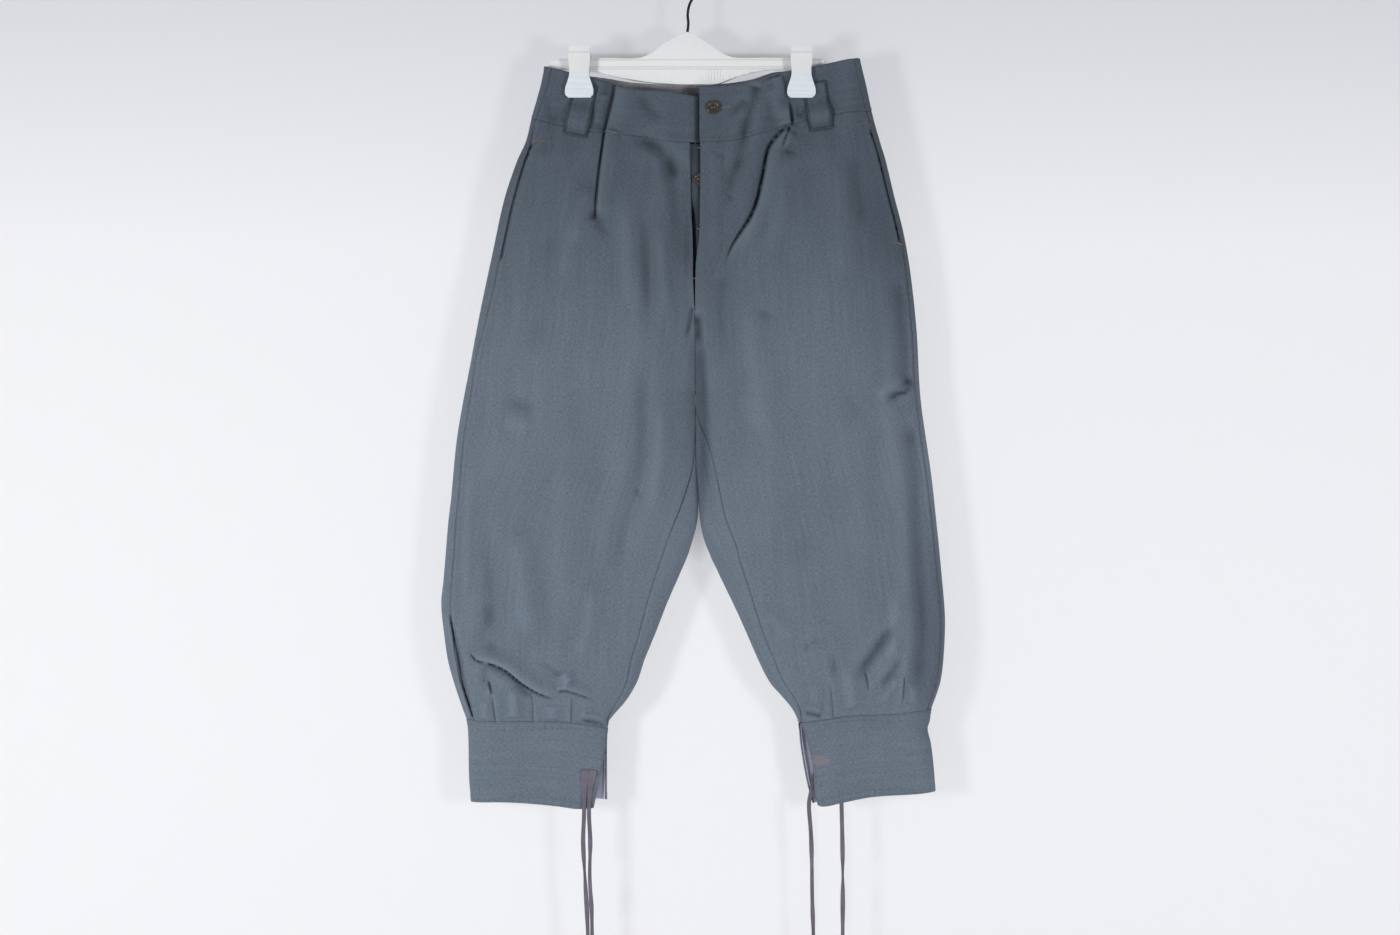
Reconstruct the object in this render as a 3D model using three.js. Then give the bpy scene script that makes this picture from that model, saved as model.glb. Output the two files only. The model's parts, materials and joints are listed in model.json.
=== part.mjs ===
import * as THREE from 'three';

// Military trousers hanging from a clip hanger. Millimetres, +Z up, the front faces -Y.
// The origin is the point of the hook that rests on a rail. "down" is a distance below it,
// and right and left are the wearer's, so the right leg has negative x.

// Cloth
const PANEL_CLOTH = 1.6;
const BAND_CLOTH = 2.2;
const CUFF_CLOTH = 1.8;
const LINING_CLOTH = 1.0;
const LOOP_CLOTH = 2.0;
const SEAM_GAP = 0.3;
const CUFF_SEAM_GAP = 0.7;
const SEATED = 0.3;
const LINING_GAP = 0.5;
const LINING_TRIM = 0.06;
const LOOP_SEAT = 0.7;

// Heights, as distances below the hang point
const FORK_DOWN = 561;
const CROTCH_RISE = 130;
const FLY_TOP = 236;
const FLY_BOTTOM = 416;
const PINCH_TOP = 178;
const PINCH_END = 262;
const BAND_LEVELS = { from: 130, to: 200 };
const CUFF_LEVELS = { from: 985, to: 1085 };

// Hanger and clips
const CLIP_X = { right: -140.5, left: 146.6 };
const CLIP_MIDDLE = 3;
const GRIP_HALF = 3.4;
const GRIP_FLAT = 30;
const GRIP_SPREAD = 68;
const CLIP_LEAN = -8.2;
const LEAN_ACROSS = { from: 50, to: 122 };
const LEAN_DOWN = { from: 170, to: 340 };
const BAR_DEPTH = 7.6;
const JAW_THICK = 3;
const HOOK_INNER_RADIUS = 20;
const HOOK_WIRE = 3.5;

// Small parts
const WAIST_BUTTON = { x: 32.5, down: 190, radius: 8.6, thick: 3.2 };
const FLY_BUTTON = { x: 14.6, down: 282, radius: 7.2, thick: 2.6 };
const BUTTON_HOLE_RADIUS = 1.0;
const BUTTON_HOLE_OFFSET = 2.2;
const UNDERLAP_END = 51;
const SHIELD_RANGE = { from: -7, to: 44 };
const SHIELD_DROP = 3.3;
const TIE_WIDTH = 5.4;
const TIE_THICK = 1.5;

// Fineness of the cloth grids
const PANEL_ROWS = 26;
const FRONT_COLUMNS = 16;
const BACK_COLUMNS = 20;
const BAND_ROWS = 4;
const CUFF_ROWS = 4;
const CUFF_COLUMNS = 26;

function table(names, rows) {
  return rows.map((row) => Object.fromEntries(names.map((name, index) => [name, row[index]])));
}

// One row per level of a leg: the x of its outer and inner edges, half its front-to-back depth,
// how square its edges are, and how far the two seams lie from those edges on the front.
const LEG_COLUMNS = ['down', 'outer', 'inner', 'depth', 'square', 'outseam', 'inseam'];
const RIGHT_LEG = table(LEG_COLUMNS, [
  [125, -184.0, 9.5, 13, 6.0, 10, 0],
  [160, -191.1, 9.5, 13, 6.0, 9, 0],
  [200, -202.3, 9.5, 14, 6.0, 7, 0],
  [232, -210.3, 9.5, 16, 5.0, 6, 0],
  [258, -222.3, 9.5, 18, 4.4, 9, 0],
  [308, -239.2, 9.5, 20, 4.0, 12, 0],
  [379, -254.8, 9.5, 22, 3.6, 12, 0],
  [453, -270.4, 9.5, 24, 3.4, 12, 0],
  [524, -283.7, 9.5, 25, 3.2, 7, 0],
  [561, -290.9, 9.4, 25, 3.2, 9, 0],
  [609, -299.4, 9.3, 26, 3.0, 10, 0.4],
  [644, -303.4, 9.3, 26, 3.0, 10, 4],
  [688, -307.4, 12.1, 26, 3.0, 11, 19],
  [728, -312.0, 10.8, 27, 3.0, 11, 31],
  [765, -314.9, 1.3, 27, 3.0, 12, 33],
  [805, -318.4, -15.6, 28, 3.0, 12, 28.5],
  [832, -320.9, -27.3, 29, 3.0, 13, 25],
  [870, -317.2, -42.0, 30, 3.0, 13.5, 20],
  [905, -312.2, -56.4, 30, 3.2, 13, 16],
  [934, -304.3, -66.2, 28, 3.6, 11.5, 12.5],
  [958, -296.4, -80.6, 23, 4.6, 11.4, 9.5],
  [977, -289.6, -97.0, 16, 6.0, 11, 2],
  [985, -287.2, -102.6, 12.5, 7.5, 11, 0],
  [1008, -285.6, -105.0, 11, 8.0, 11, 0],
  [1060, -284.6, -105.3, 10.5, 8.0, 11, 0],
  [1100, -280.6, -105.3, 10.5, 8.0, 11, 0],
]);
const LEFT_LEG = table(LEG_COLUMNS, [
  [125, 222.6, 9.9, 13, 6.0, 8, 0],
  [160, 231.0, 9.9, 13, 6.0, 8, 0],
  [200, 239.8, 9.9, 14, 6.0, 8, 0],
  [232, 249.0, 9.9, 16, 5.0, 7.5, 0],
  [256, 256.6, 9.9, 18, 4.4, 7, 0],
  [303, 268.2, 9.9, 20, 4.0, 7, 0],
  [347, 279.6, 9.9, 22, 3.6, 7, 0],
  [401, 289.1, 9.9, 23, 3.5, 7, 0],
  [476, 297.3, 9.9, 24, 3.4, 7, 0],
  [561, 302.0, 9.9, 25, 3.2, 7, 0],
  [615, 309.1, 10.0, 26, 3.0, 7, 17.5],
  [658, 315.4, 11.2, 26, 3.0, 7, 25.5],
  [700, 320.4, 15.0, 26, 3.0, 7, 31],
  [740, 324.6, 18.6, 27, 3.0, 7, 39.5],
  [765, 327.0, 26.9, 27, 3.0, 7, 36],
  [792, 329.6, 39.4, 28, 3.0, 7, 32],
  [849, 334.1, 66.7, 29, 3.0, 7, 22.8],
  [905, 332.0, 91.2, 30, 3.2, 7, 20.5],
  [934, 327.9, 106.1, 28, 3.6, 7, 18],
  [952, 322.2, 121.8, 24, 4.6, 7, 12.5],
  [968, 316.6, 135.0, 18, 6.0, 7, 6],
  [984, 314.4, 143.0, 12.5, 7.5, 7, 0],
  [994, 311.6, 144.2, 11.5, 8.0, 7, 0],
  [1014, 316.0, 146.0, 11, 8.0, 7, 0],
  [1049, 320.0, 151.6, 10.5, 8.0, 7, 0],
  [1077, 321.8, 157.8, 10.5, 8.0, 7, 0],
  [1096, 322.0, 164.0, 10.5, 8.0, 7, 0],
]);

// The fly stands open: the two front edges, as x at each level, close below the fly.
const EDGE_COLUMNS = ['down', 'x'];
const RIGHT_FLY_EDGE = table(EDGE_COLUMNS, [
  [200, 2.8], [300, 2.6], [340, 4.4], [395, 6.0], [430, 7.4], [476, 9.3], [561, 9.4],
]);
const LEFT_FLY_EDGE = table(EDGE_COLUMNS, [
  [200, 15.4], [240, 16.0], [288, 15.6], [338, 14.2], [363, 11.0], [400, 7.6], [430, 8.0], [476, 9.8],
  [561, 9.9],
]);

// Curves across each half of the garment: "across" is 0 at the outer edge, 1 at the centre or inner edge.
const ACROSS_COLUMNS = ['across', 'down'];
const BAND_TOP = {
  rightFront: table(ACROSS_COLUMNS, [
    [0, 135.5], [0.16, 142.8], [0.31, 150.4], [0.47, 159], [0.52, 165], [0.78, 167.4], [1, 174.5], [1.25, 176],
  ]),
  leftFront: table(ACROSS_COLUMNS, [
    [0, 125.2], [0.27, 135.2], [0.36, 140.6], [0.45, 142], [0.54, 145.5], [0.67, 154.8], [0.82, 160.6],
    [1, 162],
  ]),
  rightBack: table(ACROSS_COLUMNS, [[0, 135.5], [0.16, 142.8], [0.31, 148], [0.5, 152], [0.68, 154], [1, 156.5]]),
  leftBack: table(ACROSS_COLUMNS, [
    [0, 125.2], [0.27, 135.2], [0.36, 140.6], [0.45, 141.5], [0.54, 143], [0.67, 149.5], [0.82, 154], [1, 156.5],
  ]),
};
const WAIST_SEAM = {
  rightFront: table(ACROSS_COLUMNS, [
    [0, 202.4], [0.18, 211], [0.33, 218], [0.48, 222], [0.65, 225], [0.82, 231.4], [1, 234], [1.25, 234],
  ]),
  leftFront: table(ACROSS_COLUMNS, [
    [0, 192.7], [0.19, 196.4], [0.35, 202.2], [0.45, 209], [0.57, 216.6], [0.7, 225], [0.82, 231.6], [1, 232.4],
  ]),
  rightBack: table(ACROSS_COLUMNS, [[0, 202.4], [0.3, 211], [0.7, 218], [1, 221]]),
  leftBack: table(ACROSS_COLUMNS, [[0, 192.7], [0.3, 204], [0.7, 215], [1, 221]]),
};
const CUFF_SEAM = {
  rightFront: table(ACROSS_COLUMNS, [[0, 981.4], [0.12, 983.2], [0.65, 984.2], [0.83, 987.4], [1, 993]]),
  leftFront: table(ACROSS_COLUMNS, [[0, 967.5], [0.27, 974], [0.6, 976.6], [0.8, 981.6], [1, 986.6]]),
  rightBack: table(ACROSS_COLUMNS, [[0, 981.4], [0.5, 986], [1, 993]]),
  leftBack: table(ACROSS_COLUMNS, [[0, 967.5], [0.5, 977], [1, 986.6]]),
};
const HEM = {
  rightFront: table(ACROSS_COLUMNS, [[0, 1088.6], [0.27, 1088.1], [0.62, 1093], [0.8, 1097], [1, 1093]]),
  leftFront: table(ACROSS_COLUMNS, [
    [0, 1074.8], [0.15, 1077.6], [0.5, 1081], [0.77, 1089], [0.93, 1094], [1, 1091],
  ]),
  rightBack: table(ACROSS_COLUMNS, [[0, 1088.6], [0.4, 1086], [1, 1086]]),
  leftBack: table(ACROSS_COLUMNS, [[0, 1074.8], [0.5, 1080], [1, 1091]]),
};

// The cuffs are slit at the inner edge: how far the front layer ends from that edge, level by level.
const RIGHT_SLIT = table(['down', 'inset'], [[980, 0.6], [1012, 1.6], [1050, 9], [1100, 21]]);
const LEFT_SLIT = table(['down', 'inset'], [[980, 0.6], [1005, 9], [1040, 12], [1070, 7], [1100, 5]]);

// Folds: the route as [x, down] points, the half width, how far the cloth stands out (or in, if negative),
// and the share of that which is lost by the last point.
const FOLD_COLUMNS = ['route', 'width', 'lift', 'loss'];
const FRONT_FOLDS = table(FOLD_COLUMNS, [
  [[[-94, 168], [-107, 218]], 7, -2.2, 0],
  [[[-107, 221], [-113, 266], [-119, 335]], 8, -5.5, 0.2],
  [[[-121, 246], [-128, 296]], 10, 3.5, 0.6],
  [[[-81, 226], [-35, 248], [-8, 284], [-4, 330]], 12, -4.5, 0.5],
  [[[-58, 300], [-64, 470]], 20, 3.5, 0.5],
  [[[-46, 330], [-52, 520], [-70, 730]], 17, -4, 0.4],
  [[[-238, 567], [-186, 583]], 8, -2.6, 0.5],
  [[[-246, 420], [-268, 560], [-284, 720]], 16, -3.5, 0.3],
  [[[-160, 420], [-172, 700]], 34, 3.5, 0.4],
  [[[-311, 843], [-302, 884], [-291, 934], [-277, 974]], 8, -4.5, 0.2],
  [[[-277, 899], [-231, 914], [-195, 948], [-169, 957]], 8, -5.5, 0.2],
  [[[-168, 944], [-118, 956]], 7, -4, 0.2],
  [[[-166, 912], [-148, 936]], 10, 4, 0.3],
  [[[-252, 934], [-246, 982]], 6, -5, 0],
  [[[-201, 946], [-201, 982]], 6, -5, 0],
  [[[-151, 946], [-152, 983]], 6, -5, 0],
  [[[-228, 940], [-224, 972]], 10, 4, 0.3],
  [[[89, 160], [76, 216], [62, 284]], 9, -2.4, 0.3],
  [[[122, 156], [132, 203]], 7, -1.8, 0],
  [[[128, 216], [105, 244], [97, 280], [84, 330], [57, 370], [49, 398]], 9, -6, 0.4],
  [[[150, 222], [128, 280], [112, 350]], 12, 4, 0.6],
  [[[60, 300], [48, 350]], 10, 3, 0.4],
  [[[254, 562], [296, 577]], 8, -2.6, 0.5],
  [[[284, 430], [280, 600], [290, 760], [296, 930]], 13, -4.5, 0.2],
  [[[170, 420], [176, 700]], 34, 3.5, 0.4],
  [[[60, 480], [84, 640], [110, 780]], 18, -3.5, 0.3],
  [[[283, 853], [250, 880], [226, 905], [222, 932]], 8, -5, 0.2],
  [[[262, 800], [265, 920], [237, 951]], 9, 3.5, 0.2],
  [[[183, 930], [189, 974]], 6, -5, 0],
  [[[230, 917], [237, 968]], 6, -5, 0],
  [[[278, 926], [275, 966]], 6, -4.5, 0],
  [[[150, 950], [176, 978]], 7, -3.5, 0.2],
]);
const BACK_FOLDS = table(FOLD_COLUMNS, [
  [[[-114, 236], [-122, 330]], 8, -4.5, 0.3],
  [[[132, 228], [138, 322]], 8, -4.5, 0.3],
  [[[-40, 300], [-70, 430], [-96, 620]], 16, -4, 0.4],
  [[[62, 300], [88, 430], [120, 640]], 16, -4, 0.4],
  [[[-150, 300], [-170, 620]], 32, 4, 0.4],
  [[[170, 300], [190, 640]], 32, 4, 0.4],
  [[[-230, 470], [-262, 760]], 15, -3.5, 0.3],
  [[[236, 480], [286, 800]], 15, -3.5, 0.3],
  [[[-290, 880], [-240, 900], [-205, 938]], 9, -5, 0.2],
  [[[296, 860], [250, 890], [216, 930]], 9, -5, 0.2],
  [[[-246, 930], [-240, 982]], 6, -5, 0],
  [[[-190, 940], [-192, 984]], 6, -5, 0],
  [[[-140, 944], [-142, 986]], 6, -5, 0],
  [[[190, 926], [194, 976]], 6, -5, 0],
  [[[238, 918], [240, 972]], 6, -5, 0],
  [[[282, 922], [278, 968]], 6, -4.5, 0],
]);

// Belt loops: the middle of the top and bottom ends as [x, down], and the level below which each stands free.
const BELT_LOOPS = [
  { name: 'belt_loop_front_right', face: 'front', half: 'right', top: [-132.4, 160], bottom: [-145.9, 226],
    free: 181 },
  { name: 'belt_loop_front_left', face: 'front', half: 'left', top: [163.2, 157], bottom: [172.6, 217.5],
    free: 179 },
  { name: 'belt_loop_back_centre', face: 'back', half: 'centre', top: [8, 160], bottom: [7, 219], free: 164 },
];
const LOOP_WIDTH = 29;
const LOOP_BOW = 6.8;
const LOOP_RISE = 12;
const LOOP_SEWN = 2;

// Clip jaws: half width of the plate, and how far the inner faces of the two jaws stand from the bar's plane.
const JAW_ROWS = table(['down', 'half', 'front', 'back'], [
  [105.6, 10.6, 16.8, 13.6],
  [108, 13.0, 16.4, 13.0],
  [122, 14.2, 15.2, 10.0],
  [134, 13.4, 14.9, 8.4],
  [141, 12.7, 14.9, 5.4],
  [149, 13.2, 14.9, -0.4],
  [156, 15.2, 14.9, -4.3],
  [165, 18.0, 14.9, -4.4],
  [173, 18.0, 14.9, -4.4],
  [177, 14.6, 14.9, -4.4],
]);
const SPRING_WIDTH = 11;
const SPRING_CLOTH = 1;
const SPRING_ROUTE = [
  [-13.9, 138], [-13.9, 128], [-12.4, 120], [-8.6, 116.4], [-3, 115.4], [3, 117], [7.2, 121], [8.2, 128],
  [7.8, 134],
];

// Outline of the hanger's plate and arms, as [x, down], and the route of the hook's wire.
const BAR_OUTLINE = [
  [-181.5, 129], [-176, 124], [-64, 123], [-47, 116], [-30, 103.5], [-15, 95.5], [-5, 91], [3, 91], [10, 94.5],
  [28, 105.5], [44, 116.5], [60, 122.5], [173, 123.5], [179, 128], [178, 135], [171, 138.5], [106, 138.5],
  [72, 144], [36, 157], [-12, 157], [-82, 149.5], [-128, 139.5], [-176, 138], [-181.5, 134],
];
const HOOK_STEM = [[-1, 90.6], [0.4, 78], [-0.4, 66], [1.6, 54], [6.5, 44]];
const HOOK_ARC = { from: -30, to: 215, step: 17.5 };

// Ties: where each is sewn to its cuff, then the [x, y, down] points of its run.
const TIE_ROUTES = [
  { name: 'tie_right_front', half: 'right', seat: 'outside', sewn: [[-133.6, 1046], [-134.2, 1080]],
    run: [[-134.4, -12.4, 1104], [-135.6, -11.6, 1140], [-133.4, -11.0, 1185], [-130.8, -10.4, 1230],
      [-129.6, -9.4, 1275], [-131.4, -8.8, 1330]] },
  { name: 'tie_right_back', half: 'right', seat: 'outside', sewn: [[-123.0, 1046], [-127.2, 1080]],
    run: [[-128.0, -12.6, 1104], [-126.4, -12.4, 1140], [-127.0, -12.4, 1185], [-124.6, -12.0, 1230],
      [-123.8, -11.6, 1275], [-122.6, -11.0, 1318]] },
  { name: 'tie_left_front', half: 'left', seat: 'front lining', sewn: [[197.0, 1052], [198.4, 1068]],
    run: [[199.6, -4.2, 1104], [200.6, -4.0, 1150], [201.0, -3.6, 1200], [200.9, -3.4, 1262],
      [201.6, -3.2, 1326]] },
  { name: 'tie_left_back', half: 'left', seat: 'back lining', sewn: [[168.0, 1042]],
    run: [[163.6, 1.4, 1058], [159.8, -3.2, 1076], [157.0, -4.4, 1094], [159.6, -4.0, 1130], [160.8, -3.4, 1168],
      [161.4, -2.6, 1215], [163.0, -2.0, 1265], [164.6, -1.6, 1338]] },
];
const TIE_STEPS = 19;

// Finishes
const finish = (color, roughness, metalness = 0) => ({ color, roughness, metalness });
const FINISH = {
  cloth: finish(0x5c6873, 0.92),
  lining: finish(0x7d7c8c, 0.9),
  facing: finish(0x555a62, 0.9),
  tape: finish(0x706c78, 0.9),
  button: finish(0x4a3426, 0.45),
  plastic: finish(0xe9eaec, 0.4),
  clip: finish(0xdfe4ea, 0.35),
  wire: finish(0x23252a, 0.4, 0.6),
  spring: finish(0x9a9c9f, 0.35, 0.9),
};

// Arithmetic on the tables and curves
const clamp01 = (value) => Math.min(1, Math.max(0, value));

function smooth(from, to, value) {
  const share = clamp01((value - from) / (to - from));
  return share * share * (3 - 2 * share);
}

function slopeAt(rows, index, keyName, key) {
  const before = rows[Math.max(0, index - 1)];
  const after = rows[Math.min(rows.length - 1, index + 1)];
  return (after[key] - before[key]) / (after[keyName] - before[keyName]);
}

// A smooth curve through one column of a table
function curveAt(rows, keyName, key, at) {
  const last = rows.length - 1;
  if (at <= rows[0][keyName]) return rows[0][key];
  if (at >= rows[last][keyName]) return rows[last][key];
  let index = 0;
  while (rows[index + 1][keyName] < at) index += 1;
  const start = rows[index];
  const end = rows[index + 1];
  const span = end[keyName] - start[keyName];
  const t = (at - start[keyName]) / span;
  const rise = slopeAt(rows, index, keyName, key) * span;
  const fall = slopeAt(rows, index + 1, keyName, key) * span;
  return start[key] * (1 + 2 * t) * (1 - t) ** 2 + rise * t * (1 - t) ** 2
    + end[key] * t * t * (3 - 2 * t) + fall * t * t * (t - 1);
}

// Distance of a point from a fold's route, and how far along the route that is, 0 to 1
function nearestOnRoute(route, x, down) {
  let best = { distance: Infinity, along: 0 };
  const pieces = route.length - 1;
  for (let index = 0; index < pieces; index += 1) {
    const [x0, d0] = route[index];
    const [x1, d1] = route[index + 1];
    const length2 = (x1 - x0) ** 2 + (d1 - d0) ** 2;
    const t = clamp01(((x - x0) * (x1 - x0) + (down - d0) * (d1 - d0)) / length2);
    const distance = Math.hypot(x - x0 - t * (x1 - x0), down - d0 - t * (d1 - d0));
    if (distance < best.distance) best = { distance, along: (index + t) / pieces };
  }
  return best;
}

function foldLift(folds, x, down) {
  let lift = 0;
  for (const fold of folds) {
    const { distance, along } = nearestOnRoute(fold.route, x, down);
    lift += fold.lift * (1 - fold.loss * along) * Math.exp(-((distance / fold.width) ** 2));
  }
  return lift;
}

// The garment's surface: each half is a flattened ring, open at the centre above the fork
const EDGE_CROWDING = 0.8;

function acrossAt(turn) {
  return EDGE_CROWDING * (1 - Math.cos(Math.PI * turn)) / 2 + (1 - EDGE_CROWDING) * turn;
}

function turnAt(across) {
  let low = 0;
  let high = 1;
  for (let step = 0; step < 24; step += 1) {
    const middle = (low + high) / 2;
    if (acrossAt(middle) < across) low = middle;
    else high = middle;
  }
  return (low + high) / 2;
}

const HALVES = {
  right: { rows: RIGHT_LEG, flyEdge: RIGHT_FLY_EDGE, slit: RIGHT_SLIT },
  left: { rows: LEFT_LEG, flyEdge: LEFT_FLY_EDGE, slit: LEFT_SLIT },
};

const CENTRE_X = 9.7;
const halfAt = (x) => (x < CENTRE_X ? 'right' : 'left');
const legValue = (half, key, down) => curveAt(HALVES[half].rows, 'down', key, down);

function gripWeight(x, down) {
  const nearest = Math.min(Math.abs(x - CLIP_X.right), Math.abs(x - CLIP_X.left));
  return (1 - smooth(GRIP_FLAT, GRIP_SPREAD, nearest)) * (1 - smooth(PINCH_TOP, PINCH_END, down));
}

// The plane midway between front and back: from the clips outwards the waistband lies in front of the bar
function middleY(x, down) {
  const sideways = smooth(LEAN_ACROSS.from, LEAN_ACROSS.to, Math.abs(x - CLIP_MIDDLE));
  return CLIP_LEAN * sideways * (1 - smooth(LEAN_DOWN.from, LEAN_DOWN.to, down));
}

function surfaceY(half, face, x, down) {
  const outer = legValue(half, 'outer', down);
  const inner = legValue(half, 'inner', down);
  const across = Math.max(0, (x - outer) / (inner - outer));
  const open = clamp01((FORK_DOWN - down) / CROTCH_RISE);
  const edge = Math.abs(2 * Math.min(across, 1) - 1) ** legValue(half, 'square', down);
  const swell = Math.sqrt(Math.max(0, 1 - (across > 0.5 ? (1 - open) * edge : edge)));
  const folds = face === 'front' ? FRONT_FOLDS : BACK_FOLDS;
  const ease = 1 - gripWeight(x, down);
  const loose = legValue(half, 'depth', down) * swell + foldLift(folds, x, down) * swell * ease;
  const halfDepth = loose * ease + GRIP_HALF * swell * (1 - ease);
  return middleY(x, down) + (face === 'front' ? -halfDepth : halfDepth);
}

const BACK_START = 1 + 1e-6;

// turn 0 to 1 runs over the front from the outer edge to the inner one, 1 to 2 runs back behind,
// and past 2 the front is met again.
function surfacePoint(half, turn, down) {
  const face = turn > 1 && turn <= 2 ? 'back' : 'front';
  const share = face === 'back' ? 2 - turn : turn % 2;
  const outer = legValue(half, 'outer', down);
  const inner = legValue(half, 'inner', down);
  const x = outer + (inner - outer) * acrossAt(share);
  return new THREE.Vector3(x, surfaceY(half, face, x, down), -down);
}

// Level of a seam or edge at one turn of a half
function levelAt(curves, half, turn) {
  const back = turn > 1 && turn <= 2;
  const across = acrossAt(back ? 2 - turn : turn % 2);
  return curveAt(curves[half + (back ? 'Back' : 'Front')], 'across', 'down', across);
}

// Cloth is made from sheets: grids of outer points, each with the surface's normal there
const NORMAL_STEP = 1e-3;

function makeSheet(rowCount, columnCount, pointAt) {
  const points = [];
  const normals = [];
  for (let row = 0; row <= rowCount; row += 1) {
    const line = [];
    const lineNormals = [];
    for (let column = 0; column <= columnCount; column += 1) {
      const down = row / rowCount;
      const along = column / columnCount;
      const downStep = down < 0.5 ? NORMAL_STEP : -NORMAL_STEP;
      const alongStep = along < 0.5 ? NORMAL_STEP : -NORMAL_STEP;
      const point = pointAt(down, along);
      const alongRow = pointAt(down, along + alongStep).sub(point).multiplyScalar(Math.sign(alongStep));
      const alongColumn = pointAt(down + downStep, along).sub(point).multiplyScalar(Math.sign(downStep));
      line.push(point);
      lineNormals.push(alongRow.cross(alongColumn).normalize());
    }
    points.push(line);
    normals.push(lineNormals);
  }
  return { points, normals };
}

// A sheet from rows of points laid out by hand
function sheetOf(points) {
  const lastRow = points.length - 1;
  const lastColumn = points[0].length - 1;
  const normals = points.map((line, row) => line.map((point, column) => {
    const alongRow = line[Math.min(lastColumn, column + 1)].clone().sub(line[Math.max(0, column - 1)]);
    const below = points[Math.min(lastRow, row + 1)][column];
    const above = points[Math.max(0, row - 1)][column];
    return alongRow.cross(below.clone().sub(above)).normalize();
  }));
  return { points, normals };
}

// Whether a sheet's normals point the way that is outwards at its middle, 1, or the other way, -1
function outwardSign(sheet, outwards) {
  const row = Math.floor(sheet.points.length / 2);
  const column = Math.floor(sheet.points[0].length / 2);
  return Math.sign(sheet.normals[row][column].dot(outwards));
}

function movedPoints(sheet, outwards, distance) {
  const step = outwardSign(sheet, outwards) * distance;
  return sheet.points.map((line, row) => line.map((point, column) =>
    point.clone().addScaledVector(sheet.normals[row][column], step)));
}

function movedSheet(sheet, outwards, distance) {
  return { points: movedPoints(sheet, outwards, distance), normals: sheet.normals };
}

// A sheet whose top and bottom rows are drawn in by a share of the row's height
function trimmedSheet(sheet, share) {
  const last = sheet.points.length - 1;
  const points = sheet.points.map((line) => line.map((point) => point.clone()));
  points[0].forEach((point, column) => point.lerp(sheet.points[1][column], share));
  points[last].forEach((point, column) => point.lerp(sheet.points[last - 1][column], share));
  return { points, normals: sheet.normals };
}

// A closed wall between a sheet and its copy moved inwards
function wallGeometry(sheet, outwards, thickness) {
  const outer = sheet.points;
  const inner = movedPoints(sheet, outwards, -thickness);
  const rows = outer.length;
  const columns = outer[0].length;
  const positions = [...outer.flat(), ...inner.flat()].flatMap((point) => point.toArray());
  const index = [];
  const quad = (a, b, c, d) => index.push(a, b, c, a, c, d);
  const outside = (row, column) => row * columns + column;
  const inside = (row, column) => rows * columns + outside(row, column);
  for (let row = 0; row < rows - 1; row += 1) {
    for (let column = 0; column < columns - 1; column += 1) {
      quad(outside(row, column), outside(row, column + 1), outside(row + 1, column + 1),
        outside(row + 1, column));
      quad(inside(row, column), inside(row + 1, column), inside(row + 1, column + 1),
        inside(row, column + 1));
    }
    quad(outside(row, 0), outside(row + 1, 0), inside(row + 1, 0), inside(row, 0));
    quad(outside(row, columns - 1), inside(row, columns - 1), inside(row + 1, columns - 1),
      outside(row + 1, columns - 1));
  }
  for (let column = 0; column < columns - 1; column += 1) {
    quad(outside(0, column), inside(0, column), inside(0, column + 1), outside(0, column + 1));
    quad(outside(rows - 1, column), outside(rows - 1, column + 1), inside(rows - 1, column + 1),
      inside(rows - 1, column));
  }
  if (outwardSign(sheet, outwards) < 0) index.reverse();
  const geometry = new THREE.BufferGeometry();
  geometry.setAttribute('position', new THREE.Float32BufferAttribute(positions, 3));
  geometry.setIndex(index);
  return geometry;
}

const garment = new THREE.Group();

function addPiece(name, geometry, look) {
  const mesh = new THREE.Mesh(geometry, new THREE.MeshStandardMaterial(look));
  mesh.name = name;
  garment.add(mesh);
  return mesh;
}

const FORWARDS = new THREE.Vector3(0, -1, 0);
const BACKWARDS = new THREE.Vector3(0, 1, 0);

// Leg panels
const BLOUSE_CROWDING = 0.16;

// Share of a panel's height at each row: the rows lie closer together near the cuff
function rowShare(share) {
  return share + BLOUSE_CROWDING * Math.sin(Math.PI * share) * share;
}

// Turns of the two seams of a half at one level, each moved by a part of the seam gap
function seamTurn(half, seam, down, gap) {
  const outer = legValue(half, 'outer', down);
  const inner = legValue(half, 'inner', down);
  const width = Math.abs(inner - outer);
  if (seam === 'outseam') return turnAt((legValue(half, 'outseam', down) + gap) / width);
  const inset = legValue(half, 'inseam', down) + gap;
  return turnAt(1 - inset / width);
}

function flyTurn(half, down) {
  const outer = legValue(half, 'outer', down);
  const inner = legValue(half, 'inner', down);
  const edge = curveAt(HALVES[half].flyEdge, 'down', 'x', down);
  return turnAt(Math.min(1, (edge - outer) / (inner - outer)));
}

function panelLevel(half, turn, share) {
  const top = levelAt(WAIST_SEAM, half, turn) + SEAM_GAP / 2;
  const bottom = levelAt(CUFF_SEAM, half, turn) - CUFF_SEAM_GAP / 2;
  return top + (bottom - top) * rowShare(share);
}

function frontPanel(half) {
  return makeSheet(PANEL_ROWS, FRONT_COLUMNS, (share, column) => {
    const level = panelLevel(half, 0.5, share);
    const start = seamTurn(half, 'outseam', level, SEAM_GAP / 2);
    const end = level < FORK_DOWN ? flyTurn(half, level) : seamTurn(half, 'inseam', level, SEAM_GAP / 2);
    const turn = start + (end - start) * column;
    return surfacePoint(half, turn, panelLevel(half, turn, share));
  });
}

function backPanel(half) {
  return makeSheet(PANEL_ROWS, BACK_COLUMNS, (share, column) => {
    const level = panelLevel(half, 0.5, share);
    const start = level < FORK_DOWN
      ? 2 - turnAt(1 - SEAM_GAP / 2 / Math.abs(legValue(half, 'outer', level)))
      : seamTurn(half, 'inseam', level, -SEAM_GAP / 2);
    const end = 2 + seamTurn(half, 'outseam', level, -SEAM_GAP / 2);
    const turn = start + (end - start) * column;
    return surfacePoint(half, turn, panelLevel(half, turn, share));
  });
}

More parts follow.
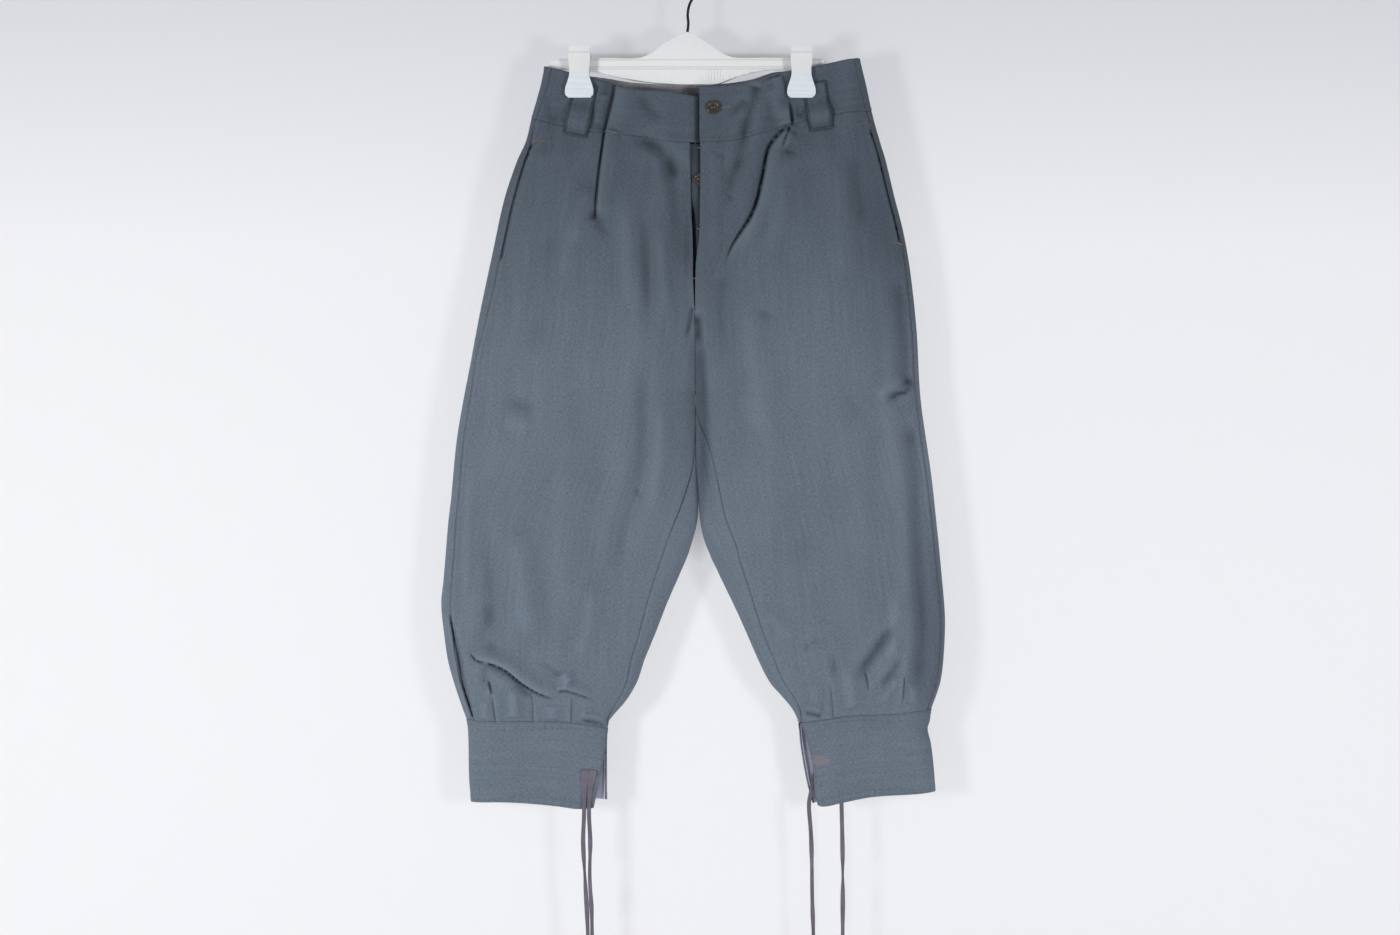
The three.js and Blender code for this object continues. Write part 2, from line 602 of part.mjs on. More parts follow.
for (const half of ['right', 'left']) {
  addPiece(`front_${half}`, wallGeometry(frontPanel(half), FORWARDS, PANEL_CLOTH), FINISH.cloth);
  addPiece(`back_${half}`, wallGeometry(backPanel(half), BACKWARDS, PANEL_CLOTH), FINISH.cloth);
}

// Waistband
const FACING = { inset: 0.6, from: 1 / 3, to: 5 / 3, columns: 20 };
const BAND_FRONT_COLUMNS = 16;
const BAND_BACK_COLUMNS = 30;
const UNDERLAP_STEP = BAND_CLOTH + 2 * SEAM_GAP;
const UNDERLAP_SHARE = 0.25;
const LEFT_BAND_END = 15.2;
const bandLevel = (share) => BAND_LEVELS.from + (BAND_LEVELS.to - BAND_LEVELS.from) * share;

// The front waistbands; the right one runs on past the centre, behind the left, as the under-lap
function bandFrontSheet(half) {
  return makeSheet(BAND_ROWS, BAND_FRONT_COLUMNS, (share, column) => {
    const level = bandLevel(share);
    const outer = legValue(half, 'outer', level);
    const inner = legValue(half, 'inner', level);
    const start = seamTurn(half, 'outseam', level, SEAM_GAP / 2);
    const end = half === 'right' ? 1 + UNDERLAP_SHARE : turnAt((LEFT_BAND_END - outer) / (inner - outer));
    const turn = start + (end - start) * column;
    const across = turn < 1 ? acrossAt(turn) : turn;
    const top = curveAt(BAND_TOP[`${half}Front`], 'across', 'down', across);
    const bottom = curveAt(WAIST_SEAM[`${half}Front`], 'across', 'down', across) - SEAM_GAP / 2;
    const down = top + (bottom - top) * share;
    const outerX = legValue(half, 'outer', down);
    const innerX = legValue(half, 'inner', down);
    const beyond = (turn - 1) / UNDERLAP_SHARE;
    const x = turn < 1 ? outerX + (innerX - outerX) * across : innerX + (UNDERLAP_END - innerX) * beyond;
    const drop = half === 'right' ? UNDERLAP_STEP * smooth(-2, 13, x) : 0;
    return new THREE.Vector3(x, surfaceY(half, 'front', x, down) + drop, -down);
  });
}

// The back waistband in one piece: over the right half from its side seam, then over the left half
function bandBackSheet(inset, from, to, columns) {
  return makeSheet(BAND_ROWS, columns, (share, column) => {
    const place = from + (to - from) * column;
    const half = place < 1 ? 'right' : 'left';
    const local = place < 1 ? place : 2 - place;
    const side = seamTurn(half, 'outseam', bandLevel(share), -SEAM_GAP / 2);
    const turn = Math.max(2 + side - (1 + side) * local, BACK_START);
    const top = levelAt(BAND_TOP, half, turn) + inset;
    const bottom = levelAt(WAIST_SEAM, half, turn) - SEAM_GAP / 2 - inset;
    return surfacePoint(half, turn, top + (bottom - top) * share);
  });
}

for (const half of ['right', 'left']) {
  addPiece(`waistband_front_${half}`, wallGeometry(bandFrontSheet(half), FORWARDS, BAND_CLOTH),
    FINISH.cloth);
}
addPiece('waistband_back', wallGeometry(bandBackSheet(0, 0, 2, BAND_BACK_COLUMNS), BACKWARDS, BAND_CLOTH),
  FINISH.cloth);
const facingSheet = movedSheet(bandBackSheet(FACING.inset, FACING.from, FACING.to, FACING.columns), BACKWARDS,
  -BAND_CLOTH - LINING_GAP);
addPiece('waistband_facing', wallGeometry(facingSheet, BACKWARDS, LINING_CLOTH), FINISH.facing);

// The under-fly behind the open fly
const shieldSheet = makeSheet(9, 6, (share, column) => {
  const x = SHIELD_RANGE.from + (SHIELD_RANGE.to - SHIELD_RANGE.from) * column;
  const down = FLY_TOP + (FLY_BOTTOM - FLY_TOP) * share;
  const drop = PANEL_CLOTH + LINING_GAP + SHIELD_DROP * smooth(-2, 8, x);
  return new THREE.Vector3(x, surfaceY(halfAt(x), 'front', x, down) + drop, -down);
});
addPiece('fly_shield', wallGeometry(shieldSheet, FORWARDS, PANEL_CLOTH), FINISH.cloth);

// Cuffs and their linings
function cuffSheet(half) {
  return makeSheet(CUFF_ROWS, CUFF_COLUMNS, (share, column) => {
    const level = CUFF_LEVELS.from + (CUFF_LEVELS.to - CUFF_LEVELS.from) * share;
    const width = Math.abs(legValue(half, 'inner', level) - legValue(half, 'outer', level));
    const slit = curveAt(HALVES[half].slit, 'down', 'inset', level);
    const start = BACK_START;
    const end = 2 + turnAt(1 - slit / width);
    const turn = start + (end - start) * column;
    const top = levelAt(CUFF_SEAM, half, turn) + CUFF_SEAM_GAP / 2;
    const bottom = levelAt(HEM, half, turn);
    return surfacePoint(half, turn, top + (bottom - top) * share);
  });
}

// The middle of a cuff's ring is its outer edge, so that is where it faces sideways
const CUFF_OUTWARDS = { right: new THREE.Vector3(-1, 0, 0), left: new THREE.Vector3(1, 0, 0) };

for (const half of ['right', 'left']) {
  const outwards = CUFF_OUTWARDS[half];
  addPiece(`cuff_${half}`, wallGeometry(cuffSheet(half), outwards, CUFF_CLOTH), FINISH.cloth);
  const inside = trimmedSheet(movedSheet(cuffSheet(half), outwards, -CUFF_CLOTH - LINING_GAP), LINING_TRIM);
  addPiece(`cuff_lining_${half}`, wallGeometry(inside, outwards, LINING_CLOTH), FINISH.lining);
}

// Belt loops: strips sewn down at both ends, standing free between
for (const loop of BELT_LOOPS) {
  const [topX, top] = loop.top;
  const [bottomX, bottom] = loop.bottom;
  const length = Math.hypot(bottomX - topX, bottom - top);
  const acrossX = (bottom - top) / length;
  const acrossDown = -(bottomX - topX) / length;
  const strip = makeSheet(9, 3, (share, column) => {
    const offset = (column - 0.5) * LOOP_WIDTH;
    const x = topX + (bottomX - topX) * share + acrossX * offset;
    const down = top + (bottom - top) * share + acrossDown * offset;
    const level = top + (bottom - top) * share;
    const fall = bottom - LOOP_SEWN;
    const bow = smooth(loop.free, loop.free + LOOP_RISE, level) * (1 - smooth(fall - LOOP_RISE, fall, level));
    const stand = LOOP_SEAT + LOOP_CLOTH + LOOP_BOW * bow;
    const half = loop.half === 'centre' ? halfAt(x) : loop.half;
    const y = surfaceY(half, loop.face, x, down) + (loop.face === 'front' ? -stand : stand);
    return new THREE.Vector3(x, y, -down);
  });
  addPiece(loop.name, wallGeometry(strip, loop.face === 'front' ? FORWARDS : BACKWARDS, LOOP_CLOTH),
    FINISH.cloth);
}

// Buttons: discs with a soft edge and four holes, facing forwards
function buttonGeometry(radius, thick) {
  const soft = 0.5;
  const disc = new THREE.Shape();
  disc.absarc(0, 0, radius, 0, 2 * Math.PI);
  for (const [sideways, upwards] of [[1, 1], [-1, 1], [-1, -1], [1, -1]]) {
    const hole = new THREE.Path();
    hole.absarc(sideways * BUTTON_HOLE_OFFSET, upwards * BUTTON_HOLE_OFFSET, BUTTON_HOLE_RADIUS, 0,
      2 * Math.PI);
    disc.holes.push(hole);
  }
  const geometry = new THREE.ExtrudeGeometry(disc, {
    depth: thick - 2 * soft, curveSegments: 7, bevelThickness: soft, bevelSize: soft, bevelOffset: -soft,
    bevelSegments: 1,
  });
  return geometry.translate(0, 0, soft).rotateX(Math.PI / 2);
}

function addButton(name, button, backY) {
  const mesh = addPiece(name, buttonGeometry(button.radius, button.thick), FINISH.button);
  mesh.position.set(button.x, backY, -button.down);
}

function foremostY(button) {
  const reach = button.radius;
  const places = [[0, 0], [reach, 0], [-reach, 0], [0, reach], [0, -reach]];
  return Math.min(...places.map(([dx, dz]) => surfaceY('left', 'front', button.x + dx, button.down - dz)));
}

addButton('waist_button', WAIST_BUTTON, foremostY(WAIST_BUTTON) - SEATED);
addButton('fly_button', FLY_BUTTON, foremostY(FLY_BUTTON) + PANEL_CLOTH + SHIELD_DROP);

// Hanger: the plate with its two arms, and the wire hook
const barShape = new THREE.Shape(BAR_OUTLINE.map(([x, down]) => new THREE.Vector2(x, -down)));
const barGeometry = new THREE.ExtrudeGeometry(barShape, {
  depth: BAR_DEPTH - 2, bevelThickness: 1, bevelSize: 1, bevelOffset: -1, bevelSegments: 1,
});
barGeometry.translate(0, 0, -(BAR_DEPTH - 2) / 2).rotateX(Math.PI / 2);
addPiece('hanger_bar', barGeometry, FINISH.plastic);

const hookPoints = HOOK_STEM.map(([x, down]) => new THREE.Vector3(x, 0, -down));
const wireRadius = HOOK_WIRE / 2;
const bendRadius = HOOK_INNER_RADIUS + wireRadius;
for (let angle = HOOK_ARC.from; angle <= HOOK_ARC.to; angle += HOOK_ARC.step) {
  const turn = THREE.MathUtils.degToRad(angle);
  hookPoints.push(new THREE.Vector3(bendRadius * Math.cos(turn), 0,
    bendRadius * Math.sin(turn) - HOOK_INNER_RADIUS));
}
const wireShape = new THREE.Shape();
wireShape.absarc(0, 0, wireRadius, 0, 2 * Math.PI);
addPiece('hanger_hook', new THREE.ExtrudeGeometry(wireShape, {
  steps: 34, curveSegments: 4, extrudePath: new THREE.CatmullRomCurve3(hookPoints),
}), FINISH.wire);

// Clips: two jaws each, splayed apart by a leaf spring that goes over the bar
function jawSheet(middle, side) {
  const rows = JAW_ROWS.map((row) => {
    const y = side === 'front' ? -row.front - JAW_THICK : row.back + JAW_THICK;
    return [-1, -0.5, 0, 0.5, 1].map((place) => new THREE.Vector3(middle + place * row.half, y, -row.down));
  });
  return sheetOf(rows);
}

function springSheet(middle) {
  return sheetOf(SPRING_ROUTE.map(([y, down]) =>
    [-1, 0, 1].map((place) => new THREE.Vector3(middle + place * SPRING_WIDTH / 2, y, -down))));
}

for (const half of ['right', 'left']) {
  const middle = CLIP_X[half];
  addPiece(`clip_${half}_front`, wallGeometry(jawSheet(middle, 'front'), FORWARDS, JAW_THICK), FINISH.clip);
  addPiece(`clip_${half}_back`, wallGeometry(jawSheet(middle, 'back'), BACKWARDS, JAW_THICK), FINISH.clip);
  addPiece(`clip_${half}_spring`, wallGeometry(springSheet(middle), new THREE.Vector3(0, 0, 1), SPRING_CLOTH),
    FINISH.spring);
}

// Ties: flat tapes that hang from the cuffs
function seatY(tie, x, down) {
  const half = tie.half;
  const under = CUFF_CLOTH + LINING_GAP + LINING_CLOTH + SEATED + TIE_THICK / 2;
  if (tie.seat === 'outside') return surfaceY(half, 'front', x, down) - SEATED - TIE_THICK / 2;
  if (tie.seat === 'front lining') return surfaceY(half, 'front', x, down) + under;
  return surfaceY(half, 'back', x, down) - under;
}

const tapeShape = new THREE.Shape();
tapeShape.absellipse(0, 0, TIE_THICK / 2, TIE_WIDTH / 2, 0, 2 * Math.PI);
for (const tie of TIE_ROUTES) {
  const sewn = tie.sewn.map(([x, down]) => new THREE.Vector3(x, seatY(tie, x, down), -down));
  const free = tie.run.map(([x, y, down]) => new THREE.Vector3(x, y, -down));
  addPiece(tie.name, new THREE.ExtrudeGeometry(tapeShape, {
    steps: TIE_STEPS, curveSegments: 4, extrudePath: new THREE.CatmullRomCurve3([...sewn, ...free]),
  }), FINISH.tape);
}

export default garment;
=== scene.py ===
"""Military trousers on a clip hanger, dressed for the picture.

Sizes are in millimetres until a mesh is made, and in metres in the mesh. +Z is up, the front faces
-Y, and the origin is where the hook rests on its rail. "down" is a distance below that point. Right
and left are the wearer's, so the right leg has negative x.
"""

from __future__ import annotations

import json
import logging
import math
from collections.abc import Callable, Sequence
from dataclasses import dataclass, field
from enum import Enum

import bmesh
import bpy
import numpy as np
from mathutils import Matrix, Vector

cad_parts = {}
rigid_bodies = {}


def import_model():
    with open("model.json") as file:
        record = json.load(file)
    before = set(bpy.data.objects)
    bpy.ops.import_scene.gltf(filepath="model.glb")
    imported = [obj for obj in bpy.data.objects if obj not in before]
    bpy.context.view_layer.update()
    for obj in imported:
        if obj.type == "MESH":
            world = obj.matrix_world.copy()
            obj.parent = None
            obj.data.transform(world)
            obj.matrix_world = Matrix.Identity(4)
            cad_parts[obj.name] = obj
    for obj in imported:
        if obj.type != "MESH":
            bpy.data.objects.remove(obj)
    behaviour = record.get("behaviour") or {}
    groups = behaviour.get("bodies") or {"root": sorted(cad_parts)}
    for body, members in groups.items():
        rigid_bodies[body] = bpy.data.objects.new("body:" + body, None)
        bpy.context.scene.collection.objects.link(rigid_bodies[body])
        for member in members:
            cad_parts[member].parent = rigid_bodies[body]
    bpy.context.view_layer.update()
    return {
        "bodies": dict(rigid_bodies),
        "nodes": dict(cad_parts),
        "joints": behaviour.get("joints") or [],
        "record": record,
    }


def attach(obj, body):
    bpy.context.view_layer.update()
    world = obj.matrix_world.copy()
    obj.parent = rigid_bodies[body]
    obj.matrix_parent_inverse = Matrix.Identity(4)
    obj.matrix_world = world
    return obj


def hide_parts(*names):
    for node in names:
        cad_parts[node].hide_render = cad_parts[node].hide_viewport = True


LOG = logging.getLogger("trousers")
MM = 0.001
BODY = "root"

Array = np.ndarray
Point = tuple[float, float]
Point3 = tuple[float, float, float]
Colour = tuple[float, float, float]


class Half(Enum):
    """The wearer's side of the garment."""

    RIGHT = "right"
    LEFT = "left"


class Face(Enum):
    """The side of the garment that a point lies on."""

    FRONT = "front"
    BACK = "back"


class FoldKind(Enum):
    """The cross-section of a fold."""

    SOFT = "soft"
    PLEAT = "pleat"


# Arithmetic on arrays


def smooth(start: float, end: float, value: Array) -> Array:
    """A soft step from 0 at start to 1 at end."""
    share = np.clip((value - start) / (end - start), 0, 1)
    return share * share * (3 - 2 * share)


class Table:
    """A short table with named columns, read as smooth curves along its first column."""

    def __init__(self, columns: str, rows: Sequence[Sequence[float]]) -> None:
        """Keeps each column as an array.

        Args:
            columns: the columns' names, parted by spaces.
            rows: one row of numbers for each section.
        """
        values = np.array(rows, float)
        names = columns.split()
        self.key = values[:, 0]
        self.columns = {name: values[:, place] for place, name in enumerate(names)}

    def at(self, column: str, place: Array | float) -> Array:
        """Reads a column's curve.

        Args:
            column: the column's name.
            place: where along the first column.

        Returns:
            The curve's values, held level past the table's ends.
        """
        key, values = self.key, self.columns[column]
        place = np.clip(np.asarray(place, float), key[0], key[-1])
        before = np.clip(np.searchsorted(key, place, side="left") - 1, 0, len(key) - 2)
        slopes = np.empty(len(key))
        slopes[1:-1] = (values[2:] - values[:-2]) / (key[2:] - key[:-2])
        slopes[0] = (values[1] - values[0]) / (key[1] - key[0])
        slopes[-1] = (values[-1] - values[-2]) / (key[-1] - key[-2])
        span = key[before + 1] - key[before]
        t = (place - key[before]) / span
        return (
            values[before] * (1 + 2 * t) * (1 - t) ** 2
            + slopes[before] * span * t * (1 - t) ** 2
            + values[before + 1] * t * t * (3 - 2 * t)
            + slopes[before + 1] * span * t * t * (t - 1)
        )


def rounded_route(points: Sequence[Sequence[float]], steps: int) -> Array:
    """A smooth curve through points.

    Args:
        points: the points, of two or three numbers each.
        steps: how many steps to take between two points.

    Returns:
        The curve's points, one row each.
    """
    known = np.array(points, float)
    padded = np.vstack([2 * known[0] - known[1], known, 2 * known[-1] - known[-2]])
    made = []
    for index in range(len(known) - 1):
        a, b, c, d = padded[index : index + 4]
        squared, cubed = 2 * a - 5 * b + 4 * c - d, 3 * b - a - 3 * c + d
        for t in np.arange(steps) / steps:
            made.append(0.5 * (2 * b + (c - a) * t + squared * t**2 + cubed * t**3))
    return np.array([*made, known[-1]])


def evenly(points: Array, pitch: float) -> Array:
    """Points a pitch apart along a line of points."""
    lengths = np.r_[0, np.cumsum(np.linalg.norm(np.diff(points, axis=0), axis=1))]
    count = max(2, int(round(lengths[-1] / pitch)) + 1)
    places = np.linspace(0, lengths[-1], count)
    return np.stack([np.interp(places, lengths, column) for column in points.T], axis=1)


# Folds

PLEAT_UNDERCUT = 0.85
PLEAT_UNDERCUT_WIDTH = 2.8
REACH_IN_WIDTHS = 3.0


@dataclass(frozen=True)
class Fold:
    """One fold of the cloth, drawn on the front or the back as points of (x, down).

    A pleat stands up on one side of its route: on the left hand of somebody who walks along the
    route, as the front view is drawn, where side is 1, and on the right hand where it is -1.
    """

    route: tuple[Point, ...]
    width: float
    lift: float
    kind: FoldKind = FoldKind.SOFT
    side: int = 1
    rise: float = 0.25
    fall: float = 0.25
    steepness: float = 0.75

    def heights(self, x: Array, down: Array) -> Array:
        """How far the cloth stands out at each point.

        Args:
            x: sideways places.
            down: distances below the hang point.

        Returns:
            The heights, of the same shape as x.
        """
        route = rounded_route(self.route, 6 if len(self.route) > 2 else 1)
        reach = REACH_IN_WIDTHS * self.width
        low, high = route.min(axis=0) - reach, route.max(axis=0) + reach
        near = (x > low[0]) & (x < high[0]) & (down > low[1]) & (down < high[1])
        made = np.zeros_like(x)
        if not near.any():
            return made
        distance, along = self.nearest(route, x[near], down[near])
        fade = smooth(0, self.rise, along) * (1 - smooth(1 - self.fall, 1, along))
        made[near] = self.lift * fade * self.section(distance)
        return made

    @staticmethod
    def nearest(route: Array, x: Array, down: Array) -> tuple[Array, Array]:
        """The signed distance of points from a route, and how far along it each lies, 0 to 1."""
        lengths = np.linalg.norm(np.diff(route, axis=0), axis=1)
        starts = np.r_[0, np.cumsum(lengths)]
        best = np.full(x.shape, np.inf)
        signed = np.zeros(x.shape)
        along = np.zeros(x.shape)
        for index, length in enumerate(lengths):
            (x0, d0), (x1, d1) = route[index], route[index + 1]
            ux, ud = (x1 - x0) / length, (d1 - d0) / length
            share = (x - x0) * ux + (down - d0) * ud
            held = np.clip(share, 0, length)
            off = np.hypot(x - x0 - held * ux, down - d0 - held * ud)
            hand = np.where(ud * (x - x0) - ux * (down - d0) >= 0, 1.0, -1.0)
            closer = off < best
            best = np.where(closer, off, best)
            signed = np.where(closer, off * hand, signed)
            along = np.where(closer, (starts[index] + held) / starts[-1], along)
        return signed, along

    def section(self, distance: Array) -> Array:
        """The fold's height across it, as a share of its lift."""
        if self.kind is FoldKind.SOFT:
            return np.exp(-((distance / self.width) ** 2))
        towards = distance * self.side
        step = 0.5 * (1 + np.tanh(towards / self.steepness))
        crest = step * np.exp(-((np.maximum(towards, 0) / self.width) ** 2))
        foot = np.exp(-((np.minimum(towards, 0) / PLEAT_UNDERCUT_WIDTH) ** 2)) * (1 - step)
        return crest - PLEAT_UNDERCUT * foot


def folds(kind: FoldKind, rows: Sequence[tuple], steepness: float = 0.75) -> list[Fold]:
    """Folds of one kind from rows of (route, width, lift, side, rise, fall)."""
    return [Fold(route, width, lift, kind, *rest, steepness=steepness) for route, width, lift, *rest in rows]


SOFT_FRONT = folds(FoldKind.SOFT, [
    # Right half, from the waistband down
    (((-108, 170), (-114, 192), (-117, 212)), 6.5, 1.6, 1, 0.1, 0.2),
    (((-64, 172), (-52, 190), (-30, 204)), 8, -1.3),
    (((-168, 160), (-176, 205), (-190, 262)), 11, -2.2),
    (((-121, 318), (-119, 340)), 6.5, -2.7, 1, 0.5, 0.4),
    (((-119, 336), (-108, 352), (-98, 364)), 7.5, -1.3, 1, 0.1, 0.8),
    (((-128, 290), (-140, 330), (-146, 372)), 10, 2.2),
    (((-84, 222), (-52, 233), (-30, 250), (-12, 286)), 10, -4.6, 1, 0.4, 0.3),
    (((-34, 246), (-22, 262), (-14, 300), (-9, 350), (-4, 420)), 13, -6.2, 1, 0.2, 0.5),
    (((-60, 286), (-58, 350), (-54, 430), (-56, 510)), 10, -2.7, 1, 0.5, 0.5),
    (((-84, 280), (-82, 360), (-78, 460)), 12, 2.4, 1, 0.3, 0.4),
    (((-38, 330), (-32, 400), (-28, 480)), 9, 2.4, 1, 0.3, 0.4),
    (((-62, 476), (-60, 541), (-62, 619), (-73, 691), (-91, 762), (-96, 840)), 14, -2.5, 1, 0.3, 0.4),
    (((-70, 676), (-64, 690), (-60, 700)), 5, -0.7, 1, 0.5, 0.5),
    (((-36, 560), (-36, 640), (-48, 720)), 10, 2.2),
    (((-150, 250), (-156, 330), (-160, 430)), 15, 1.8),
    (((-240, 558), (-216, 574), (-184, 588)), 11, -1.4, 1, 0.4, 0.6),
    (((-240, 590), (-202, 604)), 14, 1.3),
    (((-176, 330), (-190, 420), (-196, 520)), 22, -2.0),
    (((-262, 700), (-259, 770), (-252, 850), (-247, 896)), 14, -3.6, 1, 0.5, 0.3),
    (((-256, 868), (-250, 902)), 9, -1.6, 1, 0.5, 0.5),
    (((-282, 640), (-288, 740), (-289, 830)), 9, 2.6),
    (((-222, 730), (-214, 800), (-206, 880)), 16, 3.2),
    (((-160, 640), (-166, 760), (-160, 860)), 26, 2.4),
    (((-120, 800), (-128, 860), (-146, 906)), 12, 2.2),
    (((-266, 820), (-260, 850), (-266, 870), (-277, 885)), 10, -2.2, 1, 0.4, 0.3),
    (((-164, 917), (-150, 934)), 8, 3.0, 1, 0.3, 0.3),
    (((-194, 899), (-176, 913), (-157, 929)), 5.5, -1.1, 1, 0.4, 0.4),
    (((-309, 846), (-300, 884), (-291, 930), (-280, 972)), 4.2, -3.4, 1, 0.2, 0.1),
    (((-268, 902), (-246, 914), (-226, 926), (-206, 946), (-184, 958)), 5.5, -2.2, 1, 0.2, 0.3),
    (((-258, 905), (-262, 925), (-254, 944)), 7, -2.4, 1, 0.3, 0.3),
    (((-226, 936), (-224, 978)), 9, 3.4, 1, 0.3, 0.05),
    (((-176, 960), (-176, 980)), 9, 2.4, 1, 0.3, 0.05),
    (((-262, 952), (-264, 980)), 6, 2.2, 1, 0.3, 0.05),
    (((-141, 981), (-120, 985), (-105, 991)), 3.0, -2.6, 1, 0.3, 0.1),
    (((-142, 974), (-120, 977), (-106, 982)), 3.6, 2.0, 1, 0.3, 0.1),
    (((-2, 250), (0, 310), (2, 420)), 7, -3.6, 1, 0.25, 0.3),
    # Left half
    (((89, 158), (80, 196), (74, 216), (61, 282)), 8, -3.4, 1, 0.05, 0.6),
    (((81, 174), (66, 188), (50, 205)), 6.5, -2.2, 1, 0.3, 0.6),
    (((106, 158), (112, 182), (116, 206)), 8, 1.8),
    (((150, 168), (146, 190), (140, 204)), 6, -1.8),
    (((73, 242), (64, 262), (56, 282), (52, 320)), 8, -2.4, 1, 0.3, 0.5),
    (((134, 240), (120, 290), (110, 345), (86, 400)), 15, 3.6, 1, 0.2, 0.5),
    (((116, 247), (132, 249), (150, 253)), 3.4, -1.0, 1, 0.4, 0.6),
    (((31, 249), (42, 251), (53, 256)), 3.4, -0.7, 1, 0.4, 0.6),
    (((48, 304), (64, 310)), 3.4, -0.7, 1, 0.4, 0.6),
    (((30, 216), (34, 300), (30, 390)), 10, 1.4),
    (((49, 392), (44, 450), (50, 540)), 12, -2.2, 1, 0.2, 0.5),
    (((74, 420), (84, 520), (96, 620)), 16, 2.4),
    (((13, 470), (15, 560), (20, 640), (26, 720)), 9, -7.5, 1, 0.2, 0.3),
    (((12, 452), (14, 474), (14, 500)), 4.5, -5.5, 1, 0.3, 0.4),
    (((6, 446), (2, 468), (-4, 494)), 2.8, -2.6, 1, 0.1, 0.4),
    (((73, 455), (98, 458), (130, 466)), 9, -0.8, 1, 0.4, 0.6),
    (((212, 240), (222, 300), (226, 350)), 12, -1.8),
    (((186, 250), (192, 330), (196, 420)), 20, 2.0),
    (((249, 573), (265, 561), (281, 553), (295, 542)), 8.5, -4.6, 1, 0.4, 0.15),
    (((240, 566), (262, 552), (284, 540)), 11, 2.6),
    (((272, 390), (277, 440), (281, 489), (287, 554)), 13, -7.0, 1, 0.3, 0.08),
    (((286, 584), (291, 620), (296, 660), (299, 775), (304, 840), (303, 892), (293, 952)),
     13, -9.0, 1, 0.1, 0.12),
    (((256, 480), (262, 600), (268, 720)), 15, 2.2),
    (((206, 560), (214, 680), (222, 800)), 24, 2.0),
    (((118, 560), (136, 680), (152, 800)), 22, -1.8),
    (((142, 893), (160, 880), (181, 869)), 6, -1.3, 1, 0.4, 0.5),
    (((132, 908), (144, 912), (157, 916)), 4, -0.8, 1, 0.3, 0.5),
    (((96, 836), (118, 860), (140, 876)), 9, 1.8),
    (((277, 843), (256, 872), (238, 895), (226, 914), (224, 934)), 8.5, -4.0, 1, 0.3, 0.3),
    (((266, 790), (266, 850), (258, 905)), 10, 3.8, 1, 0.4, 0.2),
    (((281, 892), (262, 919), (240, 943)), 5.5, -2.2, 1, 0.35, 0.4),
    (((272, 922), (258, 944), (246, 964)), 6, 2.2),
    (((182, 884), (187, 904), (187, 918), (184, 930)), 6, -1.5, 1, 0.6, 0.4),
    (((204, 900), (208, 940), (212, 968)), 10, 3.0, 1, 0.4, 0.1),
    (((160, 930), (166, 960), (170, 974)), 8, 2.2, 1, 0.3, 0.1),
    (((290, 930), (290, 960)), 6, 2.0, 1, 0.3, 0.1),
    (((150, 972), (164, 974), (176, 978)), 3.0, -2.6, 1, 0.2, 0.3),
    (((148, 964), (162, 966), (176, 971)), 3.4, 2.2, 1, 0.2, 0.3),
])
SHARP_FRONT = folds(FoldKind.PLEAT, [
    # Right half
    (((-93, 160), (-99, 190), (-107, 222)), 17, 4.4, 1, 0.01, 0.05),
    (((-106, 219), (-112, 263), (-116, 299), (-119, 336)), 15, 3.6, 1, 0.01, 0.18),
    (((-311, 838), (-302, 884), (-293, 934), (-279, 980)), 8, 5.4, -1, 0.12, 0.05),
    (((-283, 889), (-271, 902), (-253, 907), (-234, 915), (-214, 931), (-193, 944), (-166, 955)),
     13, 5.4, 1, 0.14, 0.22),
    (((-170, 943), (-157, 941), (-138, 947), (-117, 955)), 8, 3.0, 1, 0.15, 0.35),
    (((-259, 928), (-253, 948)), 5, 2.4, -1, 0.3, 0.3),
    (((-253, 940), (-250, 960), (-248, 985)), 7, 1.2, 1, 0.5, 0.01),
    (((-202, 940), (-199, 960), (-200, 985)), 7, 0.9, 1, 0.5, 0.01),
    (((-150, 945), (-152, 985)), 7, 0.9, -1, 0.5, 0.01),
    # Left half
    (((122, 148), (130, 180), (133, 212)), 15, 4.2, -1, 0.01, 0.05),
    (((129, 214), (107, 241), (99, 275), (92, 307), (82, 333), (57, 371), (48, 398)), 14, 6.0, 1, 0.04, 0.35),
    (((134, 212), (122, 245)), 6, 2.6, 1, 0.05, 0.4),
    (((257, 571), (267, 564), (280, 560), (294, 551)), 9, 1.6, -1, 0.6, 0.3),
    (((183, 926), (186, 950), (189, 978)), 7, 1.0, 1, 0.4, 0.01),
    (((229, 916), (232, 930), (234, 948)), 5, 1.5, 1, 0.2, 0.6),
    (((278, 921), (277, 940), (275, 966)), 6, 1.3, -1, 0.2, 0.5),
])
